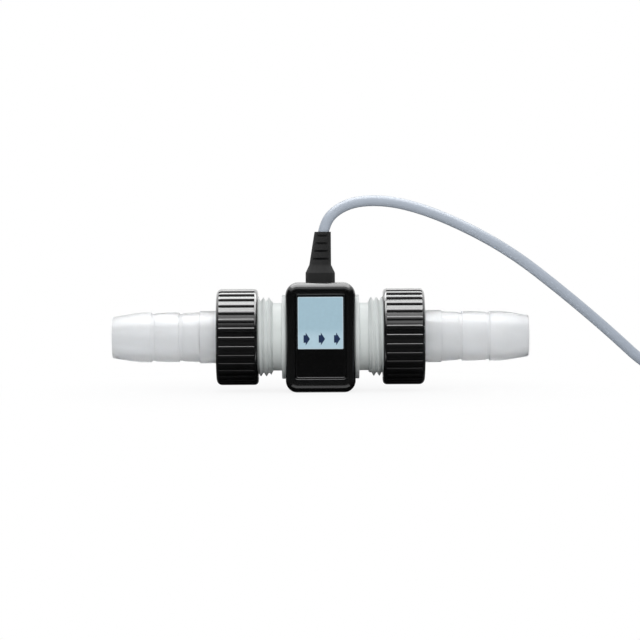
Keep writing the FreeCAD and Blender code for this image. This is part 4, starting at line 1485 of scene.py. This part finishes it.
    @staticmethod
    def softbox(
        name: str,
        place: Point,
        size: tuple[float, float],
        power: float,
        aim: Point = (0, 0, 0),
        lights: bool = True,
        mirrored: bool = True,
    ) -> None:
        """Hangs one soft lamp.

        Args:
            name: Its name.
            place: Where it hangs, in metres.
            size: Its width and depth in metres.
            power: Its power in watts.
            aim: What it points at.
            lights: Whether it lights matt surfaces.
            mirrored: Whether glossy surfaces show it.
        """
        lamp = bpy.data.lights.new(name, "AREA")
        lamp.shape = "RECTANGLE"
        lamp.size, lamp.size_y = size
        lamp.energy = power
        holder = bpy.data.objects.new(name, lamp)
        way = Vector(aim) - Vector(place)
        holder.matrix_world = Matrix.Translation(place) @ way.to_track_quat("-Z", "Y").to_matrix().to_4x4()
        holder.visible_camera = False
        holder.visible_diffuse = lights
        holder.visible_glossy = mirrored
        bpy.context.scene.collection.objects.link(holder)

    @staticmethod
    def flag(name: str, low: Point, high: Point) -> None:
        """Hangs or lays a black cloth, which only darkens the gloss of what faces it.

        Args:
            name: Its name.
            low: Its lowest corner in metres.
            high: Its highest corner in metres.
        """
        form = box_form(low, high)
        mesh = bpy.data.meshes.new(name)
        form.to_mesh(mesh)
        form.free()
        material = bpy.data.materials.new(name)
        material.use_nodes = True
        shader = material.node_tree.nodes["Principled BSDF"]
        shader.inputs["Base Color"].default_value = (0.01, 0.01, 0.01, 1)
        shader.inputs["Roughness"].default_value = 1.0
        mesh.materials.append(material)
        cloth = bpy.data.objects.new(name, mesh)
        bpy.context.scene.collection.objects.link(cloth)
        cloth.visible_camera = False
        cloth.visible_shadow = False
        cloth.visible_diffuse = False
        cloth.visible_transmission = False
        cloth.visible_volume_scatter = False

    def cloths(self) -> None:
        """Hangs cloths in front and at the sides, and lays the rest round a strip at the housing's foot."""
        reach, back, foot, top = self.cloth_reach, self.cloth_back, self.cloth_bottom, self.cloth_top
        inner = reach - self.cloth_depth
        self.flag("front_cloth", (-reach, -reach, foot), (reach, -inner, top))
        self.flag("left_cloth", (-reach, -reach, foot), (-inner, back, top))
        self.flag("right_cloth", (inner, -reach, foot), (reach, back, top))
        low = self.floor_height * MM + self.cloth_lift
        high = low + self.cloth_thickness
        near, far, side = self.gap_near, self.gap_far, self.gap_side
        self.flag("near_floor_cloth", (-reach, -reach, low), (reach, near, high))
        self.flag("far_floor_cloth", (-reach, far, low), (reach, back, high))
        self.flag("left_floor_cloth", (-reach, near, low), (-side, far, high))
        self.flag("right_floor_cloth", (side, near, low), (reach, far, high))

    def build(self) -> None:
        """Sets up the studio."""
        scene = bpy.context.scene
        scene.view_settings.view_transform = "Standard"
        self.floor()
        self.backdrop()
        self.cloths()
        self.softbox("overhead_softbox", (0.0, 0.15, 0.62), (1.0, 0.9), 11.0, (0.0, 0.15, 0.0), lights=False)
        self.softbox("front_softbox", (0.0, -0.66, 0.34), (0.3, 0.4), 1.8, mirrored=False)


@dataclass
class Camera:
    """The camera: level with the meter, a little above it. Distances in metres, angles in degrees."""

    target: Point = (-0.0002, 0.0, 0.0070)
    distance: float = 1.400
    elevation: float = 1.2
    azimuth: float = 0.0
    roll: float = -0.29
    lens: float = 186.67

    def build(self) -> None:
        """Places the camera and makes it the scene's own."""
        data = bpy.data.cameras.new("front_camera")
        data.lens = self.lens
        data.sensor_width = 36.0
        camera = bpy.data.objects.new("front_camera", data)
        up, turn = math.radians(self.elevation), math.radians(self.azimuth)
        back = Vector((-math.sin(turn) * math.cos(up), -math.cos(turn) * math.cos(up), math.sin(up)))
        place = Vector(self.target) + back * self.distance
        level = (-back).to_track_quat("-Z", "Y").to_matrix().to_4x4()
        camera.matrix_world = (
            Matrix.Translation(place) @ level @ Matrix.Rotation(math.radians(self.roll), 4, "Z")
        )
        bpy.context.scene.collection.objects.link(camera)
        bpy.context.scene.camera = camera


def main() -> None:
    """Builds the whole scene in order."""
    logging.basicConfig(level=logging.INFO, format="%(name)s: %(message)s")
    Camera().build()
    Studio().build()
    facts = SignalCable()
    CableFittings().build(facts.build(), facts)
    FlowTube().build()
    UnionNut(Side.INLET, 6.6).build()
    UnionNut(Side.OUTLET, 4.1).build()
    for side in Side:
        HoseTail(side).build()
    SensorHousing().build()
    TurbineCartridge().build()
    PulseBoard().build()


if __name__ == "__main__":
    main()
